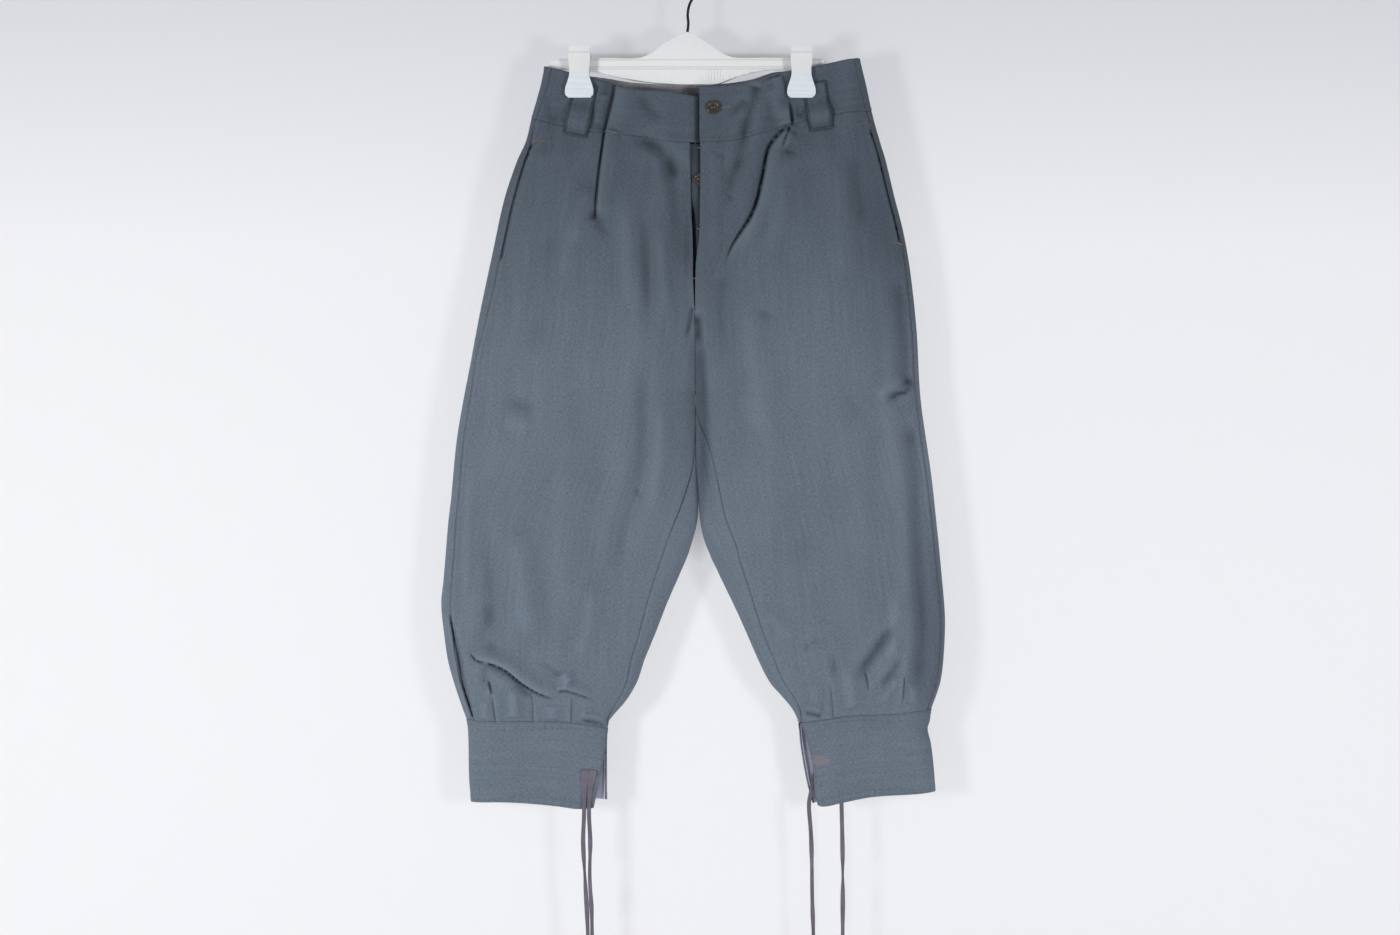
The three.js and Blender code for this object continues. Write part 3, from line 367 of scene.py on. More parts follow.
SOFT_BACK = folds(FoldKind.SOFT, [
    # Right half, which is at the viewer's right from behind
    (((-121, 306), (-127, 364)), 8, -1.5, 1, 0.4, 0.6),
    (((-70, 236), (-44, 268), (-26, 316)), 10, -3.0),
    (((-30, 300), (-48, 372), (-72, 440), (-88, 530)), 13, -3.2, 1, 0.4, 0.5),
    (((-12, 380), (-30, 450), (-52, 500)), 9, 3.2),
    (((-96, 330), (-112, 430), (-122, 540)), 14, 3.0),
    (((-160, 280), (-182, 400), (-190, 520)), 20, -2.4),
    (((-226, 380), (-240, 470), (-250, 560)), 12, 2.4),
    (((-214, 558), (-186, 572), (-150, 580)), 12, -1.2, 1, 0.5, 0.5),
    (((-208, 584), (-164, 600)), 13, 1.3),
    (((-70, 600), (-92, 700), (-118, 800)), 16, -2.6, 1, 0.4, 0.5),
    (((-40, 620), (-58, 720), (-84, 820)), 11, 2.6),
    (((-262, 640), (-276, 740), (-286, 830)), 12, -3.6),
    (((-180, 660), (-196, 780), (-204, 860)), 22, 2.8),
    (((-238, 800), (-240, 850), (-232, 900)), 12, 3.4),
    (((-130, 880), (-142, 910), (-150, 940)), 9, 2.6),
    (((-222, 938), (-216, 980)), 9, 3.4, 1, 0.3, 0.05),
    (((-166, 944), (-166, 980)), 9, 2.8, 1, 0.3, 0.05),
    (((-262, 950), (-262, 980)), 7, 2.4, 1, 0.3, 0.05),
    # Left half
    (((137, 296), (145, 360)), 8, -1.6, 1, 0.4, 0.6),
    (((92, 234), (66, 262), (46, 300)), 10, -3.2),
    (((50, 296), (72, 380), (98, 452), (116, 560)), 14, -3.0, 1, 0.4, 0.5),
    (((34, 372), (52, 440), (74, 500)), 9, 3.0),
    (((120, 330), (140, 430), (150, 540)), 15, 3.2),
    (((196, 268), (214, 380), (222, 500)), 19, -2.4),
    (((252, 360), (264, 460), (276, 560)), 12, 2.2),
    (((182, 546), (212, 560), (248, 560)), 12, -1.2, 1, 0.5, 0.5),
    (((188, 572), (236, 584)), 13, 1.3),
    (((92, 590), (118, 700), (146, 810)), 16, -2.6, 1, 0.4, 0.5),
    (((60, 640), (82, 740), (108, 830)), 11, 2.6),
    (((286, 600), (298, 720), (306, 830)), 12, -3.8),
    (((206, 640), (224, 760), (232, 850)), 22, 2.8),
    (((266, 790), (270, 850), (262, 900)), 12, 3.4),
    (((158, 880), (170, 912), (180, 940)), 9, 2.6),
    (((214, 926), (218, 970)), 9, 3.2, 1, 0.3, 0.05),
    (((262, 916), (262, 966)), 9, 3.0, 1, 0.3, 0.05),
    (((300, 930), (298, 960)), 6, 2.2, 1, 0.3, 0.05),
    # The seat
    (((9, 300), (9, 380), (9, 470)), 10, -3.6, 1, 0.3, 0.2),
    (((-50, 440), (9, 452), (66, 436)), 10, -1.2, 1, 0.4, 0.4),
])
SHARP_BACK = folds(FoldKind.PLEAT, [
    # Right half
    (((-112, 219), (-117, 262), (-122, 320)), 14, 3.4, -1, 0.01, 0.2),
    (((-304, 850), (-296, 890), (-284, 940), (-278, 980)), 8, 4.6, -1, 0.2, 0.05),
    (((-282, 884), (-252, 896), (-222, 914), (-196, 940), (-172, 948)), 13, 5.4, 1, 0.2, 0.25),
    (((-166, 936), (-140, 944), (-116, 940)), 9, 3.4, 1, 0.3, 0.35),
    (((-246, 934), (-240, 984)), 7, 1.2, 1, 0.4, 0.01),
    (((-190, 942), (-192, 986)), 7, 1.0, -1, 0.4, 0.01),
    (((-140, 946), (-142, 988)), 7, 1.0, 1, 0.4, 0.01),
    # Left half
    (((131, 214), (136, 260), (140, 312)), 14, 3.4, 1, 0.01, 0.2),
    (((180, 944), (208, 934), (236, 908), (268, 886), (300, 868)), 13, 5.2, 1, 0.25, 0.2),
    (((190, 928), (194, 978)), 7, 1.0, 1, 0.4, 0.01),
    (((238, 920), (240, 974)), 7, 1.2, -1, 0.4, 0.01),
    (((282, 924), (278, 968)), 7, 1.0, 1, 0.4, 0.01),
], steepness=1.7)

# The garment's sections: the same tables as the solids are made from

LEG_COLUMNS = "down outer inner depth square outseam inseam"
RIGHT_LEG = Table(LEG_COLUMNS, [
    (125, -184.0, 9.5, 13, 6.0, 10, 0),
    (160, -191.1, 9.5, 13, 6.0, 9, 0),
    (200, -202.3, 9.5, 14, 6.0, 7, 0),
    (232, -210.3, 9.5, 16, 5.0, 6, 0),
    (258, -222.3, 9.5, 18, 4.4, 9, 0),
    (308, -239.2, 9.5, 20, 4.0, 12, 0),
    (379, -254.8, 9.5, 22, 3.6, 12, 0),
    (453, -270.4, 9.5, 24, 3.4, 12, 0),
    (524, -283.7, 9.5, 25, 3.2, 7, 0),
    (561, -290.9, 9.4, 25, 3.2, 9, 0),
    (609, -299.4, 9.3, 26, 3.0, 10, 0.4),
    (644, -303.4, 9.3, 26, 3.0, 10, 4),
    (688, -307.4, 12.1, 26, 3.0, 11, 19),
    (728, -312.0, 10.8, 27, 3.0, 11, 31),
    (765, -314.9, 1.3, 27, 3.0, 12, 33),
    (805, -318.4, -15.6, 28, 3.0, 12, 28.5),
    (832, -320.9, -27.3, 29, 3.0, 13, 25),
    (870, -317.2, -42.0, 30, 3.0, 13.5, 20),
    (905, -312.2, -56.4, 30, 3.2, 13, 16),
    (934, -304.3, -66.2, 28, 3.6, 11.5, 12.5),
    (958, -296.4, -80.6, 23, 4.6, 11.4, 9.5),
    (977, -289.6, -97.0, 16, 6.0, 11, 2),
    (985, -287.2, -102.6, 12.5, 7.5, 11, 0),
    (1008, -285.6, -105.0, 11, 8.0, 11, 0),
    (1060, -284.6, -105.3, 10.5, 8.0, 11, 0),
    (1100, -280.6, -105.3, 10.5, 8.0, 11, 0),
])
LEFT_LEG = Table(LEG_COLUMNS, [
    (125, 222.6, 9.9, 13, 6.0, 8, 0),
    (160, 231.0, 9.9, 13, 6.0, 8, 0),
    (200, 239.8, 9.9, 14, 6.0, 8, 0),
    (232, 249.0, 9.9, 16, 5.0, 7.5, 0),
    (256, 256.6, 9.9, 18, 4.4, 7, 0),
    (303, 268.2, 9.9, 20, 4.0, 7, 0),
    (347, 279.6, 9.9, 22, 3.6, 7, 0),
    (401, 289.1, 9.9, 23, 3.5, 7, 0),
    (476, 297.3, 9.9, 24, 3.4, 7, 0),
    (561, 302.0, 9.9, 25, 3.2, 7, 0),
    (615, 309.1, 10.0, 26, 3.0, 7, 17.5),
    (658, 315.4, 11.2, 26, 3.0, 7, 25.5),
    (700, 320.4, 15.0, 26, 3.0, 7, 31),
    (740, 324.6, 18.6, 27, 3.0, 7, 39.5),
    (765, 327.0, 26.9, 27, 3.0, 7, 36),
    (792, 329.6, 39.4, 28, 3.0, 7, 32),
    (849, 334.1, 66.7, 29, 3.0, 7, 22.8),
    (905, 332.0, 91.2, 30, 3.2, 7, 20.5),
    (934, 327.9, 106.1, 28, 3.6, 7, 18),
    (952, 322.2, 121.8, 24, 4.6, 7, 12.5),
    (968, 316.6, 135.0, 18, 6.0, 7, 6),
    (984, 314.4, 143.0, 12.5, 7.5, 7, 0),
    (994, 311.6, 144.2, 11.5, 8.0, 7, 0),
    (1014, 316.0, 146.0, 11, 8.0, 7, 0),
    (1049, 320.0, 151.6, 10.5, 8.0, 7, 0),
    (1077, 321.8, 157.8, 10.5, 8.0, 7, 0),
    (1096, 322.0, 164.0, 10.5, 8.0, 7, 0),
])

# The open fly's two front edges, as x at each level
RIGHT_FLY_EDGE = Table("down x", [
    (200, 2.8), (300, 2.6), (340, 4.4), (395, 6.0), (430, 7.4), (476, 9.3), (561, 9.4),
])
LEFT_FLY_EDGE = Table("down x", [
    (200, 15.4), (240, 16.0), (288, 15.6), (338, 14.2), (363, 11.0), (400, 7.6), (430, 8.0),
    (476, 9.8), (561, 9.9),
])

# Levels of the edges and seams that run round each half, from the outer edge, 0, to the inner one, 1
BAND_TOP = {
    (Half.RIGHT, Face.FRONT): Table("across down", [
        (0, 135.5), (0.16, 142.8), (0.31, 150.4), (0.47, 159), (0.52, 165), (0.78, 167.4), (1, 174.5),
        (1.25, 176),
    ]),
    (Half.LEFT, Face.FRONT): Table("across down", [
        (0, 125.2), (0.27, 135.2), (0.36, 140.6), (0.45, 142), (0.54, 145.5), (0.67, 154.8), (0.82, 160.6),
        (1, 162),
    ]),
    (Half.RIGHT, Face.BACK): Table("across down", [
        (0, 135.5), (0.16, 142.8), (0.31, 148), (0.5, 152), (0.68, 154), (1, 156.5),
    ]),
    (Half.LEFT, Face.BACK): Table("across down", [
        (0, 125.2), (0.27, 135.2), (0.36, 140.6), (0.45, 141.5), (0.54, 143), (0.67, 149.5), (0.82, 154),
        (1, 156.5),
    ]),
}
WAIST_SEAM = {
    (Half.RIGHT, Face.FRONT): Table("across down", [
        (0, 202.4), (0.18, 211), (0.33, 218), (0.48, 222), (0.65, 225), (0.82, 231.4), (1, 234), (1.25, 234),
    ]),
    (Half.LEFT, Face.FRONT): Table("across down", [
        (0, 192.7), (0.19, 196.4), (0.35, 202.2), (0.45, 209), (0.57, 216.6), (0.7, 225), (0.82, 231.6),
        (1, 232.4),
    ]),
    (Half.RIGHT, Face.BACK): Table("across down", [(0, 202.4), (0.3, 211), (0.7, 218), (1, 221)]),
    (Half.LEFT, Face.BACK): Table("across down", [(0, 192.7), (0.3, 204), (0.7, 215), (1, 221)]),
}
CUFF_SEAM = {
    (Half.RIGHT, Face.FRONT): Table("across down", [
        (0, 981.4), (0.12, 983.2), (0.65, 984.2), (0.83, 987.4), (1, 993),
    ]),
    (Half.LEFT, Face.FRONT): Table("across down", [
        (0, 967.5), (0.27, 974), (0.6, 976.6), (0.8, 981.6), (1, 986.6),
    ]),
    (Half.RIGHT, Face.BACK): Table("across down", [(0, 981.4), (0.5, 986), (1, 993)]),
    (Half.LEFT, Face.BACK): Table("across down", [(0, 967.5), (0.5, 977), (1, 986.6)]),
}
HEM = {
    (Half.RIGHT, Face.FRONT): Table("across down", [
        (0, 1088.6), (0.27, 1088.1), (0.62, 1093), (0.8, 1097), (1, 1093),
    ]),
    (Half.LEFT, Face.FRONT): Table("across down", [
        (0, 1074.8), (0.15, 1077.6), (0.5, 1081), (0.77, 1089), (0.93, 1094), (1, 1091),
    ]),
    (Half.RIGHT, Face.BACK): Table("across down", [(0, 1088.6), (0.4, 1086), (1, 1086)]),
    (Half.LEFT, Face.BACK): Table("across down", [(0, 1074.8), (0.5, 1080), (1, 1091)]),
}

# How far the front of a cuff ends from its inner edge, level by level
RIGHT_SLIT = Table("down inset", [(980, 0.6), (1012, 1.6), (1050, 9), (1100, 21)])
LEFT_SLIT = Table("down inset", [(980, 0.6), (1005, 9), (1040, 12), (1070, 7), (1100, 5)])

EDGE_CROWDING = 0.8
TURNS = np.linspace(0, 1, 4001)


def across_at(turn: Array | float) -> Array:
    """The share of the way across a half, from its outer edge, at a turn of 0 to 1."""
    turn = np.asarray(turn, float)
    return EDGE_CROWDING * (1 - np.cos(np.pi * turn)) / 2 + (1 - EDGE_CROWDING) * turn


def turn_at(across: Array | float) -> Array:
    """The turn at which a share of the way across is reached."""
    return np.interp(across, across_at(TURNS), TURNS)


@dataclass(frozen=True)
class Drape:
    """How the garment hangs: the shared sizes that its surface is worked out from, in millimetres."""

    fork: float = 561
    crotch_rise: float = 130
    clip_x: Point = (-140.5, 146.6)
    clip_middle: float = 3
    grip_half: float = 3.4
    grip_flat: float = 30
    grip_spread: float = 68
    fold_free: Point = (17, 34)
    fold_down: Point = (176, 196)
    least_half: float = 3.0
    pinch: Point = (178, 262)
    clip_lean: float = -8.2
    lean_across: Point = (50, 122)
    lean_down: Point = (170, 340)
    centre_x: float = 9.7
    touch: float = 0.25
    touch_from: Point = (395, 430)
    touch_to: Point = (690, 748)
    ripple: float = 0.7
    billow: float = 1.3
    emphasis: float = 1.55

    def grip(self, x: Array, down: Array) -> Array:
        """How firmly the clips hold front and back together at a place, 0 to 1."""
        nearest = np.minimum(np.abs(x - self.clip_x[0]), np.abs(x - self.clip_x[1]))
        return (1 - smooth(self.grip_flat, self.grip_spread, nearest)) * (1 - smooth(*self.pinch, down))

    def fold_ease(self, x: Array, down: Array) -> Array:
        """How freely the cloth folds: not at all under a clip, and fully a little beside and below it."""
        nearest = np.minimum(np.abs(x - self.clip_x[0]), np.abs(x - self.clip_x[1]))
        return 1 - (1 - smooth(*self.fold_free, nearest)) * (1 - smooth(*self.fold_down, down))

    def middle(self, x: Array, down: Array) -> Array:
        """The plane midway between front and back."""
        sideways = smooth(*self.lean_across, np.abs(x - self.clip_middle))
        return self.clip_lean * sideways * (1 - smooth(*self.lean_down, down))

    def ripples(self, x: Array, down: Array, face: Face) -> Array:
        """The slight unevenness that any hung cloth has."""
        phase = 0.0 if face is Face.FRONT else 2.1
        made = np.sin(x / 23 + down / 61 + phase) * np.sin(down / 47 - x / 90 + 2 * phase)
        made += 0.7 * np.sin(x / 11.5 - down / 38 + 1.3 + phase) * np.sin(down / 83 + 0.6)
        made += 0.35 * np.sin(x / 6.3 + down / 27 + phase) * np.sin(down / 31 - x / 19)
        broad = np.sin(x / 34 + 1.4 * np.sin(down / 120 + phase)) * np.sin(down / 96 + x / 150 + phase)
        return self.ripple * made + self.billow * broad


DRAPE = Drape()
ALL_FOLDS = {Face.FRONT: SOFT_FRONT + SHARP_FRONT, Face.BACK: SOFT_BACK + SHARP_BACK}


@dataclass(frozen=True)
class Leg:
    """One half of the garment: a flattened ring, open at the centre above the fork."""

    half: Half
    rows: Table
    fly_edge: Table
    slit: Table

    def value(self, column: str, down: Array | float) -> Array:
        """A column of the leg's table at a level."""
        return self.rows.at(column, down)

    def width(self, down: Array | float) -> Array:
        """The distance between the two edges."""
        return np.abs(self.value("inner", down) - self.value("outer", down))

    def surface_y(self, face: Face, x: Array, down: Array, folded: bool = True) -> Array:
        """The y of the cloth's outer side.

        Args:
            face: front or back.
            x: sideways places.
            down: distances below the hang point.
            folded: whether the folds are there.

        Returns:
            The y of each place.
        """
        outer = self.value("outer", down)
        inner = self.value("inner", down)
        across = np.maximum(0, (x - outer) / (inner - outer))
        opening = np.clip((DRAPE.fork - down) / DRAPE.crotch_rise, 0, 1)
        edge = np.abs(2 * np.minimum(across, 1) - 1) ** self.value("square", down)
        swell = np.sqrt(np.maximum(0, 1 - np.where(across > 0.5, (1 - opening) * edge, edge)))
        ease = 1 - DRAPE.grip(x, down)
        lift = np.zeros_like(swell)
        if folded:
            for fold in ALL_FOLDS[face]:
                lift += DRAPE.emphasis * fold.heights(x, down)
            lift += DRAPE.ripples(x, down, face)
        half_depth = (self.value("depth", down) * ease + DRAPE.grip_half * (1 - ease)) * swell
        folded_depth = half_depth + lift * swell * DRAPE.fold_ease(x, down)
        least = np.minimum(half_depth, DRAPE.least_half)
        half_depth = np.where(folded_depth < half_depth, np.maximum(folded_depth, least), folded_depth)
        sign = -1 if face is Face.FRONT else 1
        return DRAPE.middle(x, down) + sign * half_depth

    def points(self, turn: Array, down: Array, folded: bool = True) -> Array:
        """Points on the ring: turn 0 to 1 is the front, 1 to 2 the back, and past 2 the front again."""
        back = (turn > 1) & (turn <= 2)
        share = np.where(back, 2 - turn, np.mod(turn, 2))
        outer = self.value("outer", down)
        across = across_at(share)
        x = outer + (self.value("inner", down) - outer) * across
        y = np.empty_like(x)
        for face, here in ((Face.FRONT, ~back), (Face.BACK, back)):
            if here.any():
                y[here] = self.surface_y(face, x[here], down[here], folded)
        apart = (LEFT_LEG.at("inner", down) - RIGHT_LEG.at("inner", down)) / 2 + DRAPE.touch
        apart = apart * smooth(*DRAPE.touch_from, down) * (1 - smooth(*DRAPE.touch_to, down))
        x = x + (apart if self.half is Half.RIGHT else -apart) * across**12
        return np.stack([x, y, -down], axis=-1)

    def level(self, curves: dict[tuple[Half, Face], Table], turn: Array) -> Array:
        """The level of a seam or edge that runs round the half."""
        back = (turn > 1) & (turn <= 2)
        across = across_at(np.where(back, 2 - turn, np.mod(turn, 2)))
        front = curves[self.half, Face.FRONT].at("down", across)
        return np.where(back, curves[self.half, Face.BACK].at("down", across), front)

    def outseam_turn(self, down: Array, gap: float) -> Array:
        """The turn of the outer seam, moved by a part of the seam's gap."""
        return turn_at((self.value("outseam", down) + gap) / self.width(down))

    def inseam_turn(self, down: Array, gap: float) -> Array:
        """The turn of the inner seam."""
        return turn_at(1 - (self.value("inseam", down) + gap) / self.width(down))

    def fly_turn(self, down: Array) -> Array:
        """The turn of the front edge that lies at the fly."""
        outer, inner = self.value("outer", down), self.value("inner", down)
        return turn_at(np.minimum(1, (self.fly_edge.at("x", down) - outer) / (inner - outer)))


LEGS = {
    Half.RIGHT: Leg(Half.RIGHT, RIGHT_LEG, RIGHT_FLY_EDGE, RIGHT_SLIT),
    Half.LEFT: Leg(Half.LEFT, LEFT_LEG, LEFT_FLY_EDGE, LEFT_SLIT),
}


def front_y(x: Array, down: Array, face: Face = Face.FRONT) -> Array:
    """The y of the garment's outer side, whichever half a place lies in."""
    x, down = np.broadcast_arrays(np.asarray(x, float), np.asarray(down, float))
    right = x < DRAPE.centre_x
    made = np.empty(x.shape)
    for leg, here in ((LEGS[Half.RIGHT], right), (LEGS[Half.LEFT], ~right)):
        if here.any():
            made[here] = leg.surface_y(face, x[here], down[here])
    return made


# Meshes made in code: cloth walls, ribbons and threads


def new_object(name: str, vertices: Array, faces: list[tuple[int, ...]],
               material: bpy.types.Material) -> bpy.types.Object:
    """A mesh object at the origin.

    Args:
        name: the object's name.
        vertices: one row for each vertex, in millimetres.
        faces: the faces as tuples of vertex numbers.
        material: its finish.

    Returns:
        The object, linked to the scene and smooth.
    """
    mesh = bpy.data.meshes.new(name)
    mesh.from_pydata((vertices * MM).tolist(), [], faces)
    mesh.materials.append(material)
    mesh.shade_smooth()
    made = bpy.data.objects.new(name, mesh)
    bpy.context.scene.collection.objects.link(made)
    return made


def unit(vectors: Array) -> Array:
    """Vectors scaled to a length of one."""
    return vectors / np.maximum(np.linalg.norm(vectors, axis=-1, keepdims=True), 1e-9)


# How softly a doubled strip ends sideways, and along its edge
STRIP_STEP = 0.9
STRIP_FADE = 4


class Edge(Enum):
    """An edge of a piece of cloth that is laid out as a grid."""

    TOP = "top"
    BOTTOM = "bottom"
    START = "start"
    END = "end"


@dataclass(frozen=True)
class Strip:
    """A strip along an edge that stands out, such as a felled seam or a hem, or is pressed in.

    The height is negative where it is pressed in. The sewing's puckers have a depth, pucker, and a
    length, pitch.
    """

    height: float
    width: float
    pucker: float = 0.0
    pitch: float = 11.0


@dataclass
class Cut:
    """A piece of cloth, laid out as a grid of points on its outer side, as (rows, columns, 3)."""

    points: Array
    outwards: Point3

    def normals(self) -> Array:
        """The outward normals."""
        made = unit(np.cross(np.gradient(self.points, axis=1), np.gradient(self.points, axis=0)))
        rows, columns = self.points.shape[:2]
        return made * self.sign(made[rows // 2, columns // 2])

    def sign(self, normal: Array) -> float:
        """1 where the grid's own normal is outward, and -1 where it isn't."""
        return 1.0 if normal @ np.array(self.outwards, float) >= 0 else -1.0

    def sunk(self, reach: float) -> Array:
        """How far each point lies below the mean of the cloth within a reach."""
        level = self.points
        for axis in (0, 1):
            pitch = np.linalg.norm(np.diff(self.points, axis=axis), axis=2).mean()
            steps = int(np.clip(round(reach / pitch), 1, self.points.shape[axis] // 2 - 1))
            margin = [(0, 0)] * 3
            margin[axis] = (steps, steps)
            padded = np.pad(level, margin, mode="reflect", reflect_type="odd")
            places = np.arange(self.points.shape[axis])
            shifted = [np.take(padded, places + shift, axis=axis) for shift in range(2 * steps + 1)]
            level = np.mean(shifted, axis=0)
        return ((level - self.points) * self.normals()).sum(axis=-1)

    def from_edge(self, edge: Edge) -> tuple[Array, Array, Array]:
        """The grid, its normals and the distance from an edge, turned so that the edge is column 0."""
        points, normals = self.points, self.normals()
        if edge in (Edge.TOP, Edge.BOTTOM):
            points, normals = points.transpose(1, 0, 2), normals.transpose(1, 0, 2)
        if edge in (Edge.BOTTOM, Edge.END):
            points, normals = points[:, ::-1], normals[:, ::-1]
        steps = np.linalg.norm(np.diff(points, axis=1), axis=2)
        return points, normals, np.hstack([np.zeros((len(points), 1)), np.cumsum(steps, axis=1)])

    def beside(self, edge: Edge, distance: float, lift: float = 0.0) -> tuple[Array, Array]:
        """A line on the cloth, level with an edge.

        Args:
            edge: the edge.
            distance: how far in from it.
            lift: how far off the cloth.

        Returns:
            The line's points and the normals there.
        """
        points, normals, away = self.from_edge(edge)

        def read(values: Array) -> Array:
            """The values at the distance, one for each row."""
            return np.array([[np.interp(distance, steps, column) for column in row.T]
                             for steps, row in zip(away, values)])

        made = unit(read(normals))
        return read(points) + lift * made, made

    def raised(self, edge: Edge, strip: Strip, levels: Point | None = None) -> Cut:
        """The cloth with a strip along an edge.

        Args:
            edge: the edge.
            strip: the strip's form.
            levels: the distances down between which the strip runs, if it doesn't run all along.

        Returns:
            The new cloth.
        """
        points, normals, away = self.from_edge(edge)
        steps = np.linalg.norm(np.diff(points[:, 0], axis=0), axis=1)
        along = np.r_[0, np.cumsum(steps)][:, None]
        wave = np.sin(2 * np.pi * along / strip.pitch + 1.7 * np.sin(along / 37))
        wave = wave * np.sin(along / 23 + 0.4)
        rise = strip.height * (1 - smooth(strip.width - STRIP_STEP, strip.width + STRIP_STEP, away))
        rise = rise + strip.pucker * wave * np.exp(-((away - 0.5 * strip.width) / strip.width) ** 2)
        if levels:
            down = -points[:, :1, 2]
            first, last = levels
            rise = rise * smooth(first - STRIP_FADE, first + STRIP_FADE, down)
            rise = rise * (1 - smooth(last - STRIP_FADE, last + STRIP_FADE, down))
        made = points + rise[..., None] * normals
        if edge in (Edge.BOTTOM, Edge.END):
            made = made[:, ::-1]
        if edge in (Edge.TOP, Edge.BOTTOM):
            made = made.transpose(1, 0, 2)
        return Cut(made, self.outwards)


@dataclass(frozen=True)
class Wall:
    """How a cut becomes a cloth wall with two sides and a rounded rim.

    The rim bulges by a share of the thickness. The grain runs down the grid, or across it where
    turned is true. The inner side takes one point of the outer side in each step either way. Two
    values are stored for the finish to paint shade and highlight from: hollow and dip, each point's
    depth below the cloth round it. Hollow also carries the painted shade that is given and the
    painted shade beside the belt loops.
    """

    thickness: float
    rim: float = 0.25
    turned: bool = False
    step: int = 2
    hollow_reach: float = 2.6
    dip_reach: float = 17.0

    def build(self, name: str, cut: Cut, material: bpy.types.Material,
              shade: Array | float = 0.0) -> bpy.types.Object:
        """Makes the wall.

        Args:
            name: the object's name.
            cut: the cloth's outer side, with an odd number of rows and of columns.
            material: its finish.
            shade: painted shade, as the depth of a hollow that the cloth looks as dark as, for each point or
                for all.

        Returns:
            The closed wall, with a UV map named weave in metres.
        """
        points, step = cut.points, self.step
        rows, columns = points.shape[:2]
        inner = points - self.thickness * cut.normals()
        loop = self.border(rows, columns)
        vertices = np.vstack([
            points.reshape(-1, 3), inner[::step, ::step].reshape(-1, 3), self.rim_points(points, inner, loop),
        ])
        faces = self.faces(rows, columns, loop, step)
        row, column = rows // 2, columns // 2
        middle = points[row, column]
        if cut.sign(np.cross(points[row, column + 1] - middle, points[row + 1, column] - middle)) < 0:
            faces = [face[::-1] for face in faces]
        made = new_object(name, vertices, faces, material)
        grid = self.weave_map(points)
        border = grid[loop[:, 0], loop[:, 1]]
        self.give_map(made, np.vstack([grid.reshape(-1, 2), grid[::step, ::step].reshape(-1, 2), border]))
        # The hollow value carries painted shade: the shade given here and that beside the belt loops
        near = cut.sunk(self.hollow_reach) + shade + painted_loop_shade(points, cut.outwards[1])
        for kind, depth in (("hollow", near), ("dip", cut.sunk(self.dip_reach))):
            around = depth[loop[:, 0], loop[:, 1]]
            depths = np.concatenate([depth.ravel(), depth[::step, ::step].ravel(), around])
            stored = made.data.attributes.new(kind, "FLOAT", "POINT")
            stored.data.foreach_set("value", depths.astype(np.float32))
        return made

    @staticmethod
    def border(rows: int, columns: int) -> Array:
        """The grid's border, once round, as rows of (row, column)."""
        top = [(0, column) for column in range(columns)]
        right = [(row, columns - 1) for row in range(1, rows)]
        bottom = [(rows - 1, column) for column in range(columns - 2, -1, -1)]
        left = [(row, 0) for row in range(rows - 2, 0, -1)]
        return np.array(top + right + bottom + left)

    def rim_points(self, outer: Array, inner: Array, loop: Array) -> Array:
        """Points midway through the wall round its border, pushed out a little so that the edge is round."""
        rows, columns = outer.shape[:2]
        here = outer[loop[:, 0], loop[:, 1]]
        inside = outer[np.clip(loop[:, 0], 1, rows - 2), np.clip(loop[:, 1], 1, columns - 2)]
        return (here + inner[loop[:, 0], loop[:, 1]]) / 2 + unit(here - inside) * self.rim * self.thickness

    @staticmethod
    def faces(rows: int, columns: int, loop: Array, step: int) -> list[tuple[int, ...]]:
        """The faces of both sides and of the rim."""
        outer = np.arange(rows * columns).reshape(rows, columns)
        few = (len(range(0, rows, step)), len(range(0, columns, step)))
        inner = np.arange(few[0] * few[1]).reshape(few) + rows * columns
        quads = [np.stack([g[:-1, :-1], g[:-1, 1:], g[1:, 1:], g[1:, :-1]], axis=-1).reshape(-1, 4)
                 for g in (outer, inner)]
        made = [tuple(face) for face in quads[0].tolist()] + [tuple(face[::-1]) for face in quads[1].tolist()]
        edge = outer[loop[:, 0], loop[:, 1]].tolist()
        coarse = inner[loop[::step, 0] // step, loop[::step, 1] // step].tolist()
        first_middle = rows * columns + inner.size
        for place, here in enumerate(edge):
            following = (place + 1) % len(edge)
            middle, middle_after = first_middle + place, first_middle + following
            made.append((edge[following], here, middle, middle_after))
            behind = coarse[place // step]
            if (place + 1) % step == 0:
                made.append((middle_after, middle, behind, coarse[(place // step + 1) % len(coarse)]))
            else:
                made.append((middle_after, middle, behind))
        return made

    def weave_map(self, points: Array) -> Array:
        """Each point's place on the flat cloth in metres, so that the grain follows the piece."""
        sideways = np.cumsum(np.linalg.norm(np.diff(points, axis=1), axis=2), axis=1)
        across = np.hstack([np.zeros((len(points), 1)), sideways])
        across = across - across[:, points.shape[1] // 2][:, None]
        steps = np.linalg.norm(np.diff(points, axis=0), axis=2)
        downs = np.vstack([np.zeros(points.shape[1]), np.cumsum(steps, axis=0)])
        grid = np.stack([across, downs], axis=-1) * MM
        return grid[..., ::-1] if self.turned else grid

    @staticmethod
    def give_map(made: bpy.types.Object, places: Array) -> None:
        """Writes the weave map onto a mesh, from one place for each vertex."""
        mesh = made.data
        corner = np.empty(len(mesh.loops), np.int32)
        mesh.loops.foreach_get("vertex_index", corner)
        mesh.uv_layers.new(name="weave").data.foreach_set("uv", places[corner].astype(np.float32).ravel())


